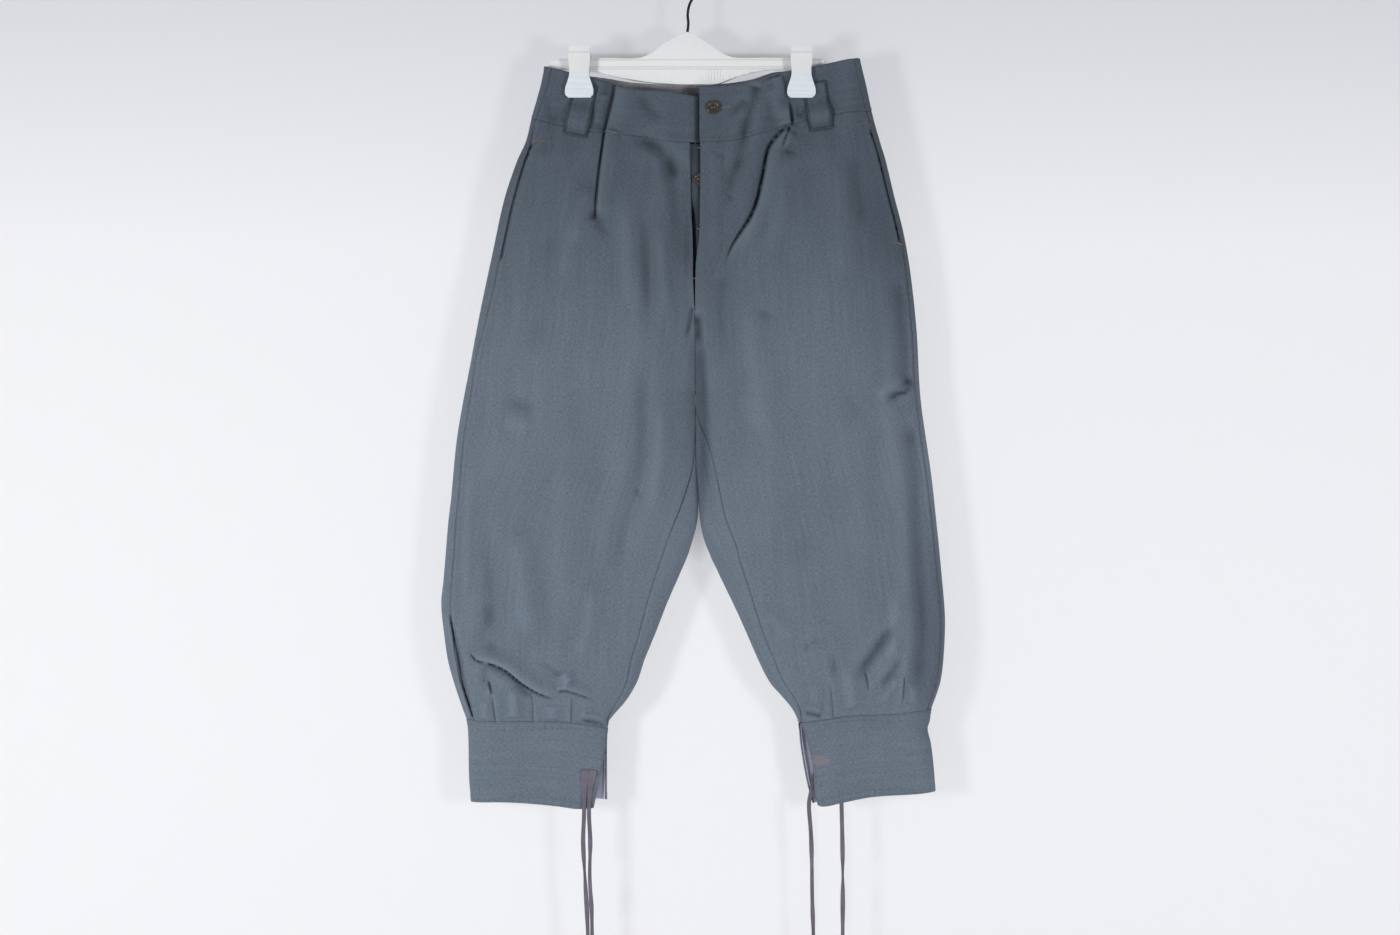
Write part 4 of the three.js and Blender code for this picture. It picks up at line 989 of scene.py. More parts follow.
@dataclass(frozen=True)
class Thread:
    """A sewing thread, as rows of short raised stitches."""

    length: float = 2.2
    pitch: float = 3.0
    radius: float = 0.26
    taper: float = 0.28
    flatness: float = 0.8
    tip_sink: float = 0.2

    def run(self, route: Array, normals: Array) -> tuple[Array, Array]:
        """Stitches along a line on the cloth.

        Args:
            route: the line's points.
            normals: the cloth's outward normals there.

        Returns:
            The stitches' end points and normals, as (stitches, 2, 3) and (stitches, 3).
        """
        lengths = np.r_[0, np.cumsum(np.linalg.norm(np.diff(route, axis=0), axis=1))]
        starts = np.arange(self.pitch / 2, max(lengths[-1] - self.length, self.pitch), self.pitch)

        def at(places: Array, values: Array) -> Array:
            """The values at places along the line."""
            return np.stack([np.interp(places, lengths, column) for column in values.T], axis=1)

        ends = np.stack([at(starts, route), at(starts + self.length, route)], axis=1)
        return ends, unit(at(starts + self.length / 2, normals))

    def mesh(self, ends: Array, normals: Array) -> tuple[Array, list[tuple[int, ...]]]:
        """Spindles for stitches: a ring of four round the middle and a point at each end.

        Args:
            ends: the stitches' two ends, as (stitches, 2, 3).
            normals: the outward normals, one for each.

        Returns:
            The vertices and faces.
        """
        first, last = ends[:, 0], ends[:, 1]
        along = unit(last - first)
        side = unit(np.cross(along, normals))
        lift = normals * self.radius
        rings = []
        for share in (self.taper, 1 - self.taper):
            middle = first * (1 - share) + last * share + lift
            for turn in range(4):
                angle = math.pi / 4 + turn * math.pi / 2
                around = math.cos(angle) * side + self.flatness * math.sin(angle) * normals
                rings.append(middle + self.radius * around)
        tips = [first - self.tip_sink * lift, last - self.tip_sink * lift]
        vertices = np.stack([tips[0], *rings, tips[1]], axis=1).reshape(-1, 3)
        faces = []
        for start in range(0, len(vertices), 10):
            for turn in range(4):
                after = (turn + 1) % 4
                faces.append((start, start + 1 + after, start + 1 + turn))
                faces.append((start + 1 + turn, start + 1 + after, start + 5 + after, start + 5 + turn))
                faces.append((start + 9, start + 5 + turn, start + 5 + after))
        return vertices, faces


# Materials


class Value:
    """A socket of a shader tree, or a number, with the arithmetic that Python gives it."""

    def __init__(self, shader: Shader, socket: bpy.types.NodeSocket | float) -> None:
        """Keeps the tree that new nodes go into."""
        self.shader = shader
        self.socket = socket

    def combined(self, operation: str, *others: Value | float) -> Value:
        """A Math node of this value and the others, in that order."""
        given = {place: item for place, item in enumerate([self, *others])}
        return self.shader.node("ShaderNodeMath", {"operation": operation}, given)

    def __add__(self, other: Value | float) -> Value:
        """Their sum."""
        return self.combined("ADD", other)

    __radd__ = __add__

    def __mul__(self, other: Value | float) -> Value:
        """Their product."""
        return self.combined("MULTIPLY", other)

    __rmul__ = __mul__

    def __sub__(self, other: Value | float) -> Value:
        """This less the other."""
        return self.combined("SUBTRACT", other)

    def __rsub__(self, other: float) -> Value:
        """A number less this."""
        return Value(self.shader, other).combined("SUBTRACT", self)

    def __pow__(self, other: float) -> Value:
        """This to a power."""
        return self.combined("POWER", other)

    def clamped(self) -> Value:
        """This, held between 0 and 1."""
        return self.shader.node("ShaderNodeClamp", {}, {"Value": self})

    def sine(self) -> Value:
        """Its sine."""
        return self.combined("SINE")


class Shader:
    """One material's tree of nodes."""

    def __init__(self, name: str) -> None:
        """Starts a material with its surface shader."""
        self.material = bpy.data.materials.new(name)
        self.material.use_nodes = True
        self.tree = self.material.node_tree
        self.surface = self.tree.nodes["Principled BSDF"]

    def node(self, kind: str, settings: dict, inputs: dict, output: int | str = 0) -> Value:
        """Adds a node.

        Args:
            kind: the node's type.
            settings: its own settings, set first; a ramp's stops are (place, colour) pairs.
            inputs: values or links of its sockets, by name or place.
            output: the output that is wanted.

        Returns:
            That output.
        """
        made = self.tree.nodes.new(kind)
        for name, value in settings.items():
            if name == "stops":
                for place, (at, colour) in enumerate(value):
                    stop = made.color_ramp.elements[place] if place < 2 else made.color_ramp.elements.new(at)
                    stop.position = at
                    stop.color = (*colour, 1)
            else:
                setattr(made, name, value)
        for place, value in inputs.items():
            self.give(made.inputs[place], value)
        return Value(self, made.outputs[output])

    def give(self, socket: bpy.types.NodeSocket, value: object) -> None:
        """Links a value to a socket, or sets the socket to it."""
        held = value.socket if isinstance(value, Value) else value
        if isinstance(held, bpy.types.NodeSocket):
            self.tree.links.new(held, socket)
        elif isinstance(held, tuple) and len(held) == 3 and socket.type == "RGBA":
            socket.default_value = (*held, 1)
        else:
            socket.default_value = held

    def set(self, **sockets: object) -> None:
        """Sets or links the surface's sockets; an underscore in a name stands for a space."""
        for name, value in sockets.items():
            self.give(self.surface.inputs[name.replace("_", " ")], value)

    def weave(self, across: float, down: float) -> Value:
        """The cloth's own map, stretched by a number of repeats for each metre either way."""
        uv = self.node("ShaderNodeUVMap", {"uv_map": "weave"}, {})
        return self.node("ShaderNodeMapping", {}, {"Vector": uv, "Scale": (across, down, 1)})

    def place(self, scale: float | tuple[float, float, float] = 1.0) -> Value:
        """Object coordinates, scaled."""
        at = self.node("ShaderNodeTexCoord", {}, {}, "Object")
        size = (scale,) * 3 if isinstance(scale, float) else scale
        return self.node("ShaderNodeMapping", {}, {"Vector": at, "Scale": size})

    def front_view(self) -> tuple[Value, Value]:
        """The sideways place and the height, in metres."""
        at = self.node("ShaderNodeTexCoord", {}, {}, "Object")
        sideways = self.node("ShaderNodeSeparateXYZ", {}, {"Vector": at})
        return sideways, Value(self, sideways.socket.node.outputs[2])

    def noise(self, at: Value, scale: float = 1.0, detail: float = 3.0, roughness: float = 0.55) -> Value:
        """Noise of about 0 to 1."""
        inputs = {"Vector": at, "Scale": scale, "Detail": detail, "Roughness": roughness}
        return self.node("ShaderNodeTexNoise", {"noise_dimensions": "3D"}, inputs)

    def mixed(self, share: Value | float, first: object, second: object) -> Value:
        """A mix of two colours."""
        inputs = {0: share, 6: first, 7: second}
        return self.node("ShaderNodeMix", {"data_type": "RGBA"}, inputs, 2)

    def bump(self, height: Value, distance: float, strength: float = 1.0) -> Value:
        """A bumped normal."""
        return self.node("ShaderNodeBump", {}, {"Height": height, "Distance": distance, "Strength": strength})


@dataclass(frozen=True)
class Spot:
    """A soft oval of the front view, in metres from the hang point, with its strength in the middle."""

    x: float
    z: float
    wide: float
    high: float
    strength: float = 1.0

    def away(self, sideways: Value, height: Value) -> Value:
        """How far out a place lies, from 0 in the middle to 1 on the oval's edge, squared."""
        across, up = (sideways - self.x) * (1 / self.wide), (height - self.z) * (1 / self.high)
        return across ** 2.0 + up ** 2.0

    def share(self, sideways: Value, height: Value) -> Value:
        """How strong the spot is at a place, with nothing outside the oval."""
        return (1 - self.away(sideways, height)).clamped() * self.strength


# Painted shade round the fork, at the left hip and outside the left knee
SHADE_SPOTS = (
    Spot(0.01, -0.5, 0.085, 0.24, 0.4),
    Spot(0.31, -0.3, 0.12, 0.34, 0.6),
    Spot(0.325, -0.88, 0.045, 0.2, 0.7),
)
# The painted shadow under the right leg's edge, and how sharply it starts there
LAP_SHADOW = Spot(0.012, -0.61, 0.018, 0.14)
LAP_EDGE = 0.0092
LAP_SHARPNESS = 900
# The faded rectangle on the left cuff
WORN_SPOT = Spot(0.1716, -1.0345, 0.012, 0.006)
WORN_COLOUR = (0.25, 0.2, 0.215)


@dataclass(frozen=True)
class DrillFinish:
    """Cotton drill: slate blue-grey, flecked along and across the grain, with long faint slubs.

    It is darker from a level upwards and, as painted shade, in the shade spots and under the lap.
    Painted shade darkens its hollows and dips, and painted highlight lightens its ridges, from
    values stored on the mesh.
    """

    name: str
    dark: Colour
    light: Colour
    slub: float = 1.0
    mottle: float = 0.3
    twill_pitch: float = 0.0011
    roughness: float = 0.86
    # The darker colour that is multiplied in: from a level upwards, and as painted shade in the shade spots
    # and under the lap
    deep: Colour = (0.55, 0.57, 0.585)
    deep_levels: Point = (-0.52, -0.28)
    deep_share: float = 0.8
    # Painted shade in hollows and dips and painted highlight on ridges, then deeper painted shade past a
    # depth, in a dark tone
    relief_shade: float = 0.22
    hollow_shadow: float = 0.42
    hollow_shadow_from: float = 0.18
    dip_relief_shade: float = 0.12
    dip_shadow: float = 0.11
    dip_shadow_from: float = 0.5
    shadow_tone: float = 0.2
    worn_patch: bool = False

    def darkening_share(self, shader: Shader, mottle: Value) -> Value:
        """How much of the darker colour each place has: more from a level upwards, and painted shade in the
        shade spots and under the lap.
        """
        sideways, height = shader.front_view()
        low, high = self.deep_levels
        made = ((height - low) * (1 / (high - low)) + (mottle - 0.5) * 0.4).clamped() * self.deep_share
        for spot in SHADE_SPOTS:
            made = made + spot.share(sideways, height)
        # Painted shadow under the right leg's edge, on the left half only
        under_lap = ((sideways - LAP_EDGE) * LAP_SHARPNESS).clamped()
        return (made + LAP_SHADOW.share(sideways, height) * under_lap).clamped()

    def weave_normal(self, shader: Shader, threads: Value) -> Value:
        """The normal of the weave: the twill with its threads, over soft creases."""
        uv = shader.node("ShaderNodeUVMap", {"uv_map": "weave"}, {})
        split = shader.node("ShaderNodeSeparateXYZ", {}, {"Vector": uv})
        along = Value(shader, split.socket.node.outputs[1])
        twill = ((split + along * 0.7) * (2 * math.pi / self.twill_pitch)).sine() * 0.5 + 0.5
        fine = shader.bump(twill * 0.3 + threads, 0.0002, 0.5)
        creases = shader.noise(shader.weave(60, 30), detail=3.0, roughness=0.6)
        return shader.node("ShaderNodeBump", {}, {
            "Height": creases, "Distance": 0.0022, "Strength": 0.35, "Normal": fine,
        })

    def material(self) -> bpy.types.Material:
        """Builds the material."""
        shader = Shader(self.name)
        fleck = shader.noise(shader.weave(1300, 260), detail=2.0, roughness=0.6)
        cross = shader.noise(shader.weave(240, 1200), detail=2.0, roughness=0.6)
        thread = shader.noise(shader.weave(760, 14), detail=1.0)
        slub = shader.noise(shader.weave(190, 7), detail=2.0)
        mottle = shader.noise(shader.place(13.0), detail=4.0, roughness=0.6)
        hollow = shader.node("ShaderNodeAttribute", {"attribute_name": "hollow"}, {}, "Fac")
        dip = shader.node("ShaderNodeAttribute", {"attribute_name": "dip"}, {}, "Fac")
        tone = (fleck - 0.5) * 2.3 + (cross - 0.5) * 1.9 + (thread - 0.5) * (0.6 * self.slub)
        tone = tone + (slub - 0.5) * (0.4 * self.slub) + (mottle - 0.5) * self.mottle + 0.5
        # Painted shade where the cloth is sunk, and painted highlight where it stands up
        worn = (tone - hollow * self.relief_shade - dip * self.dip_relief_shade).clamped()
        colour = shader.mixed(worn, self.dark, self.light)
        # Deeper painted shade in the deepest hollows and dips
        dip_shadow = ((dip - self.dip_shadow_from) * self.dip_shadow).clamped()
        hollow_shadow = ((hollow - self.hollow_shadow_from) * self.hollow_shadow + dip_shadow).clamped()
        colour = shader.mixed(hollow_shadow, colour, tuple(part * self.shadow_tone for part in self.dark))
        if self.worn_patch:
            inside = 1.4 - WORN_SPOT.away(*shader.front_view())
            patch = (inside + (mottle - 0.5) * 2.0).clamped() * (slub + 0.2) * 0.7
            colour = shader.mixed(patch.clamped(), colour, WORN_COLOUR)
        # Darker from a level upwards, with painted shade in the shade spots and under the lap
        darkened = shader.node("ShaderNodeMix", {"data_type": "RGBA", "blend_type": "MULTIPLY"}, {
            0: self.darkening_share(shader, mottle), 6: colour, 7: self.deep,
        }, 2)
        shader.set(
            Base_Color=darkened,
            Roughness=(mottle * 0.12 + (self.roughness - 0.06)).clamped(),
            Specular_IOR_Level=0.28,
            Sheen_Weight=0.1,
            Sheen_Roughness=0.5,
            Sheen_Tint=(0.75, 0.82, 0.9, 1),
            Normal=self.weave_normal(shader, fleck * 0.5 + cross * 0.4 + thread * 0.3),
        )
        return shader.material


@dataclass(frozen=True)
class ThreadFinish:
    """Twisted sewing thread."""

    name: str
    colour: Colour
    faded: Colour

    def material(self) -> bpy.types.Material:
        """Builds the material."""
        shader = Shader(self.name)
        patches = shader.noise(shader.place(180.0), detail=2.0)
        twist = shader.noise(shader.place(2600.0), detail=1.0)
        shader.set(
            Base_Color=shader.mixed(((patches - 0.35) * 2.2).clamped(), self.colour, self.faded),
            Roughness=0.7,
            Specular_IOR_Level=0.3,
            Normal=shader.bump(twist, 0.00012, 0.6),
        )
        return shader.material


@dataclass(frozen=True)
class TapeFinish:
    """Limp cotton tape, mauve-grey, with a plain weave along it."""

    name: str
    dark: Colour
    light: Colour

    def material(self) -> bpy.types.Material:
        """Builds the material."""
        shader = Shader(self.name)
        along = shader.noise(shader.weave(2600, 60), detail=2.0)
        across = shader.noise(shader.weave(200, 1500), detail=1.0)
        fade = shader.noise(shader.place(45.0), detail=3.0)
        tone = (along - 0.5) * 0.9 + (across - 0.5) * 0.5 + (fade - 0.5) * 1.1 + 0.5
        shader.set(
            Base_Color=shader.mixed(tone.clamped(), self.dark, self.light),
            Roughness=0.9,
            Specular_IOR_Level=0.25,
            Sheen_Weight=0.1,
            Normal=shader.bump(along + across, 0.0002, 0.5),
        )
        return shader.material


@dataclass(frozen=True)
class PlasticFinish:
    """Moulded plastic with faint flow marks and fine scuffs, and thin lines of painted shade at some heights.
    """

    name: str
    colour: Colour
    tint: Colour
    roughness: float
    coat: float = 0.0
    glow: float = 0.0
    shade_lines: tuple[float, ...] = ()
    shade_line_half: float = 0.0012
    shade_line_share: float = 0.5
    shade_line_tone: float = 0.62

    def material(self) -> bpy.types.Material:
        """Builds the material."""
        shader = Shader(self.name)
        flow = shader.noise(shader.place(22.0), detail=3.0)
        scuffs = shader.noise(shader.place(170.0), detail=3.0, roughness=0.6)
        colour = shader.mixed(((flow - 0.4) * 2).clamped(), self.colour, self.tint)
        height = shader.front_view()[1]
        # Painted shade along the grooves, as thin darker lines at given heights
        for level in self.shade_lines:
            close = (1 - ((height - level) * (1 / self.shade_line_half)) ** 2.0).clamped() * self.shade_line_share
            colour = shader.mixed(close, colour, tuple(part * self.shade_line_tone for part in self.colour))
        shader.set(
            Base_Color=colour,
            Roughness=((scuffs - 0.5) * 0.1 + self.roughness).clamped(),
            Specular_IOR_Level=0.5,
            Coat_Weight=self.coat,
            Subsurface_Weight=self.glow,
            Subsurface_Radius=(0.004, 0.004, 0.005),
            Normal=shader.bump(flow * 0.7 + scuffs * 0.02, 0.0003, 0.15),
        )
        return shader.material


@dataclass(frozen=True)
class MetalFinish:
    """Wire or spring steel, bare or coated."""

    name: str
    colour: Colour
    metal: float
    roughness: float

    def material(self) -> bpy.types.Material:
        """Builds the material."""
        shader = Shader(self.name)
        drawn = shader.noise(shader.place((900.0, 900.0, 120.0)), detail=3.0)
        worn = shader.noise(shader.place(140.0), detail=3.0)
        paler = tuple(min(1.0, part * 1.8 + 0.02) for part in self.colour)
        shader.set(
            Base_Color=shader.mixed(((worn - 0.55) * 3).clamped(), self.colour, paler),
            Metallic=self.metal,
            Roughness=((drawn - 0.5) * 0.3 + self.roughness).clamped(),
            Normal=shader.bump(drawn, 0.00008, 0.4),
        )
        return shader.material


@dataclass(frozen=True)
class HornFinish:
    """Mottled brown button horn, polished by wear."""

    name: str
    dark: Colour
    light: Colour

    def material(self) -> bpy.types.Material:
        """Builds the material."""
        shader = Shader(self.name)
        cloud = shader.noise(shader.place(330.0), detail=4.0, roughness=0.65)
        grain = shader.noise(shader.place((300.0, 300.0, 1500.0)), detail=2.0)
        between = tuple((a + b) / 2 for a, b in zip(self.dark, self.light))
        colour = shader.node("ShaderNodeValToRGB", {
            "stops": [(0.36, self.dark), (0.56, between), (0.74, self.light)],
        }, {"Fac": cloud * 0.8 + grain * 0.2})
        shader.set(
            Base_Color=colour,
            Roughness=(grain * 0.25 + 0.2).clamped(),
            Specular_IOR_Level=0.55,
            Coat_Weight=0.35,
            Normal=shader.bump(grain, 0.0001, 0.4),
        )
        return shader.material


@dataclass(frozen=True)
class Finishes:
    """Every finish of the garment and its hanger."""

    drill: bpy.types.Material
    cuff_drill: bpy.types.Material
    lining: bpy.types.Material
    facing: bpy.types.Material
    tape: bpy.types.Material
    seam_thread: bpy.types.Material
    tack_thread: bpy.types.Material
    hole_thread: bpy.types.Material
    horn: bpy.types.Material
    hanger: bpy.types.Material
    clip: bpy.types.Material
    grip: bpy.types.Material
    wire: bpy.types.Material
    spring: bpy.types.Material

    @classmethod
    def made(cls) -> Finishes:
        """Builds them all."""
        slate, pale = (0.094, 0.12, 0.153), (0.168, 0.206, 0.254)
        return cls(
            drill=DrillFinish("slate drill", slate, pale).material(),
            cuff_drill=DrillFinish("slate drill of the cuffs", slate, pale, slub=1.25,
                                   worn_patch=True).material(),
            lining=DrillFinish("lilac lining", (0.38, 0.38, 0.5), (0.58, 0.575, 0.7), slub=0.5).material(),
            facing=DrillFinish("worn facing", (0.2, 0.19, 0.21), (0.5, 0.47, 0.5), slub=2.2).material(),
            tape=TapeFinish("mauve tape", (0.085, 0.08, 0.1), (0.21, 0.19, 0.235)).material(),
            seam_thread=ThreadFinish("slate thread", (0.07, 0.09, 0.115), (0.2, 0.2, 0.21)).material(),
            tack_thread=ThreadFinish("rust thread", (0.3, 0.15, 0.09), (0.42, 0.3, 0.22)).material(),
            hole_thread=ThreadFinish("tan thread", (0.2, 0.15, 0.11), (0.4, 0.36, 0.32)).material(),
            horn=HornFinish("brown horn", (0.02, 0.016, 0.014), (0.1, 0.066, 0.046)).material(),
            hanger=PlasticFinish("white plastic", (0.965, 0.97, 0.975), (0.985, 0.985, 0.985), 0.26, 0.4,
                                 shade_lines=(-0.1255, -0.1345, -0.1372)).material(),
            clip=PlasticFinish("clip plastic", (0.86, 0.86, 0.865), (0.9, 0.9, 0.89), 0.3, 0.35, 0.1,
                               shade_lines=(-0.1185,)).material(),
            grip=PlasticFinish("bluish plastic", (0.82, 0.87, 0.95), (0.88, 0.91, 0.95), 0.32, 0.3,
                               0.2).material(),
            wire=MetalFinish("black wire", (0.012, 0.013, 0.016), 0.3, 0.35).material(),
            spring=MetalFinish("spring steel", (0.5, 0.5, 0.52), 1.0, 0.3).material(),
        )


# The garment's cloth


class Joined:
    """Meshes gathered up to make one object, such as all of one kind of stitching."""

    def __init__(self) -> None:
        """Starts with nothing."""
        self.vertices: list[Array] = []
        self.faces: list[tuple[int, ...]] = []
        self.count = 0

    def add(self, vertices: Array, faces: list[tuple[int, ...]]) -> None:
        """Adds a mesh."""
        self.faces += [tuple(place + self.count for place in face) for face in faces]
        self.vertices.append(vertices)
        self.count += len(vertices)

    def build(self, name: str, material: bpy.types.Material) -> bpy.types.Object:
        """Makes the object."""
        return new_object(name, np.vstack(self.vertices), self.faces, material)


class Yarn(Enum):
    """The threads that the garment is sewn with."""

    SLATE = "stitching"
    RUST = "bar_tacks"
    TAN = "faded_stitching"


class Stitching:
    """All the garment's sewing, gathered by its thread."""

    lift: float = 0.02
    bar_lift: float = 0.1

    def __init__(self) -> None:
        """Starts with no stitches."""
        self.sewn = {yarn: Joined() for yarn in Yarn}

    def sew(self, cut: Cut, edge: Edge, distances: Sequence[float], thread: Thread,
            yarn: Yarn = Yarn.SLATE) -> None:
        """Sews rows of stitches level with an edge.

        Args:
            cut: the cloth.
            edge: the edge.
            distances: each row's distance from it.
            thread: the stitches' size.
            yarn: the thread's kind.
        """
        for distance in distances:
            self.sewn[yarn].add(*thread.mesh(*thread.run(*cut.beside(edge, distance, self.lift))))

    def line(self, places: Sequence[Point], yarn: Yarn, thread: Thread) -> None:
        """Sews along a smooth line on the front.

        Args:
            places: points of the line, as (x, down).
            yarn: the thread's kind.
            thread: the stitches' size.
        """
        drawn = evenly(rounded_route(places, 8), 1.0)
        x, down = drawn[:, 0], drawn[:, 1]
        route = np.stack([x, front_y(x, down) - self.lift, -down], axis=1)
        normals = np.tile([0.0, -1.0, 0.0], (len(x), 1))
        self.sewn[yarn].add(*thread.mesh(*thread.run(route, normals)))

    def bar(self, first: Point, last: Point, width: float, yarn: Yarn, pitch: float = 0.55) -> None:
        """Sews a bar tack: short stitches side by side, across a line on the front.

        Args:
            first: one end of the line, as (x, down).
            last: the other.
            width: the stitches' length.
            yarn: the thread's kind.
            pitch: how far apart they are.
        """
        ends = np.array([first, last], float)
        length = np.hypot(*(ends[1] - ends[0]))
        along = (ends[1] - ends[0]) / length
        across = np.array([-along[1], along[0]]) * width / 2
        places = ends[0] + np.arange(0, length, pitch)[:, None] * along
        sides = np.stack([places - across, places + across + 0.5 * pitch * along], axis=1)
        x, down = sides[..., 0], sides[..., 1]
        y = front_y(x, down) - self.bar_lift - self.lift
        normals = np.tile([0.0, -1.0, 0.0], (len(places), 1))
        self.sewn[yarn].add(*TACK.mesh(np.stack([x, y, -down], axis=-1), normals))

    def build(self, finishes: Finishes) -> list[bpy.types.Object]:
        """Makes the sewing's objects."""
        materials = {
            Yarn.SLATE: finishes.seam_thread,
            Yarn.RUST: finishes.tack_thread,
            Yarn.TAN: finishes.hole_thread,
        }
        return [joined.build(yarn.value, materials[yarn]) for yarn, joined in self.sewn.items()]


FINE = Thread(length=2.1, pitch=2.9, radius=0.24)
TACK = Thread(radius=0.3)
SEAM_GAP = 0.3
HALF_GAP = SEAM_GAP / 2
PANEL_THICK = 1.6
BAND_THICK = 2.2
CUFF_THICK = 1.8
LINING_THICK = 1.0
# About where the waistband and the cuffs lie, and the first turn that is on the back
BAND_LEVELS = (130, 200)
CUFF_LEVELS = (985, 1085)
BACK_START = 1 + 1e-6


def between(levels: Point, shares: Array) -> Array:
    """The levels at shares of the way from one to another."""
    return levels[0] + (levels[1] - levels[0]) * shares


def odd_shares(count: int) -> Array:
    """Shares from 0 to 1, as an odd number of them."""
    return np.linspace(0, 1, count + 1 - count % 2)


@dataclass
class LegPanels:
    """The four leg panels, from the waist seam to the cuff seam."""

    front_columns: int = 257
    front_rows: int = 269
    back_columns: int = 151
    back_rows: int = 215
    crowding: float = 0.2
    felled: Strip = Strip(0.55, 8.5, 0.22)
    felled_rows: Point = (1.8, 7.2)
    plain: Strip = Strip(0.0, 6.0, 0.22)
    waist: Strip = Strip(0.0, 5.0, 0.2, 13)
    foot: Strip = Strip(0.0, 5.0, 0.25, 9)
    ditch: Strip = Strip(-0.7, 1.2)
    shallow_ditch: Strip = Strip(-0.3, 1.2)
    pocket: Strip = Strip(-3.2, 4.2)
    pockets: dict[Half, Point] = field(
        default_factory=lambda: {Half.RIGHT: (236, 384), Half.LEFT: (218, 362)}
    )
    flats: dict[Face, tuple[Point, float]] = field(
        default_factory=lambda: {Face.FRONT: ((0.36, 0.79), 0.205), Face.BACK: ((0.34, 0.8), 0.215)}
    )

    def shares(self, count: int) -> Array:
        """The rows' shares of the way down, closest together at the blousing above the cuff."""
        even = odd_shares(count)
        return even + self.crowding * np.sin(np.pi * even) * even

    @staticmethod
    def level(leg: Leg, turn: Array, share: Array) -> Array:
        """The level of a row at a turn."""
        top = leg.level(WAIST_SEAM, turn) + HALF_GAP
        bottom = leg.level(CUFF_SEAM, turn) - 0.35
        return top + (bottom - top) * share

    def front(self, leg: Leg) -> Cut:
        """A front panel, from the outer seam to the fly or the inner seam."""
        shares = self.shares(self.front_rows)
        columns = odd_shares(self.front_columns)
        rough = self.level(leg, np.full(shares.shape, 0.5), shares)
        start = leg.outseam_turn(rough, HALF_GAP)
        end = np.where(rough < DRAPE.fork, leg.fly_turn(rough), leg.inseam_turn(rough, HALF_GAP))
        turn = start[:, None] + (end - start)[:, None] * columns[None, :]
        down = self.level(leg, turn, np.broadcast_to(shares[:, None], turn.shape))
        return Cut(leg.points(turn, down), (0, -1, 0))

    def back(self, leg: Leg) -> Cut:
        """A back panel, from the centre seam or the inner seam round to the outer seam."""
        shares = self.shares(self.back_rows)
        columns = odd_shares(self.back_columns)
        rough = self.level(leg, np.full(shares.shape, 1.5), shares)
        seat = 2 - turn_at(1 - HALF_GAP / leg.width(rough))
        start = np.where(rough < DRAPE.fork, seat, leg.inseam_turn(rough, -HALF_GAP))
        end = 2 + leg.outseam_turn(rough, -HALF_GAP)
        turn = start[:, None] + (end - start)[:, None] * columns[None, :]
        down = self.level(leg, turn, np.broadcast_to(shares[:, None], turn.shape))
        return Cut(leg.points(turn, down), (0, 1, 0))

    def build(self, finishes: Finishes, stitching: Stitching) -> None:
        """Makes the panels and sews their seams.

        Args:
            finishes: the garment's finishes.
            stitching: takes the seams' stitches.
        """
        for half, leg in LEGS.items():
            for face, cut in ((Face.FRONT, self.front(leg)), (Face.BACK, self.back(leg))):
                node = f"{face.value}_{half.value}"
                outer = Edge.START if face is Face.FRONT else Edge.END
                if face is Face.FRONT:
                    cut = cut.raised(outer, self.felled)
                    stitching.sew(cut, outer, self.felled_rows, FINE)
                else:
                    cut = cut.raised(outer, self.plain)
                cut = cut.raised(Edge.TOP, self.waist).raised(Edge.BOTTOM, self.foot)
                for edge in (Edge.START, Edge.END):
                    cut = cut.raised(edge, self.ditch)
                for edge in (Edge.TOP, Edge.BOTTOM):
                    cut = cut.raised(edge, self.shallow_ditch)
                if face is Face.FRONT:
                    cut = cut.raised(outer, self.pocket, self.pockets[half])
                piece = Wall(PANEL_THICK, 0.2).build(f"{node}_cloth", cut, finishes.drill)
                dress(piece, "drill", node)


def dress(piece: bpy.types.Object, slot: str, *nodes: str) -> bpy.types.Object:
    """Makes a piece ride on the body, in place of CAD nodes.

    Args:
        piece: the piece.
        slot: not used.
        nodes: the nodes that it replaces.

    Returns:
        The piece.
    """
    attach(piece, BODY)
    if nodes:
        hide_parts(*nodes)
    LOG.info("%s: %d faces", piece.name, len(piece.data.polygons))
    return piece


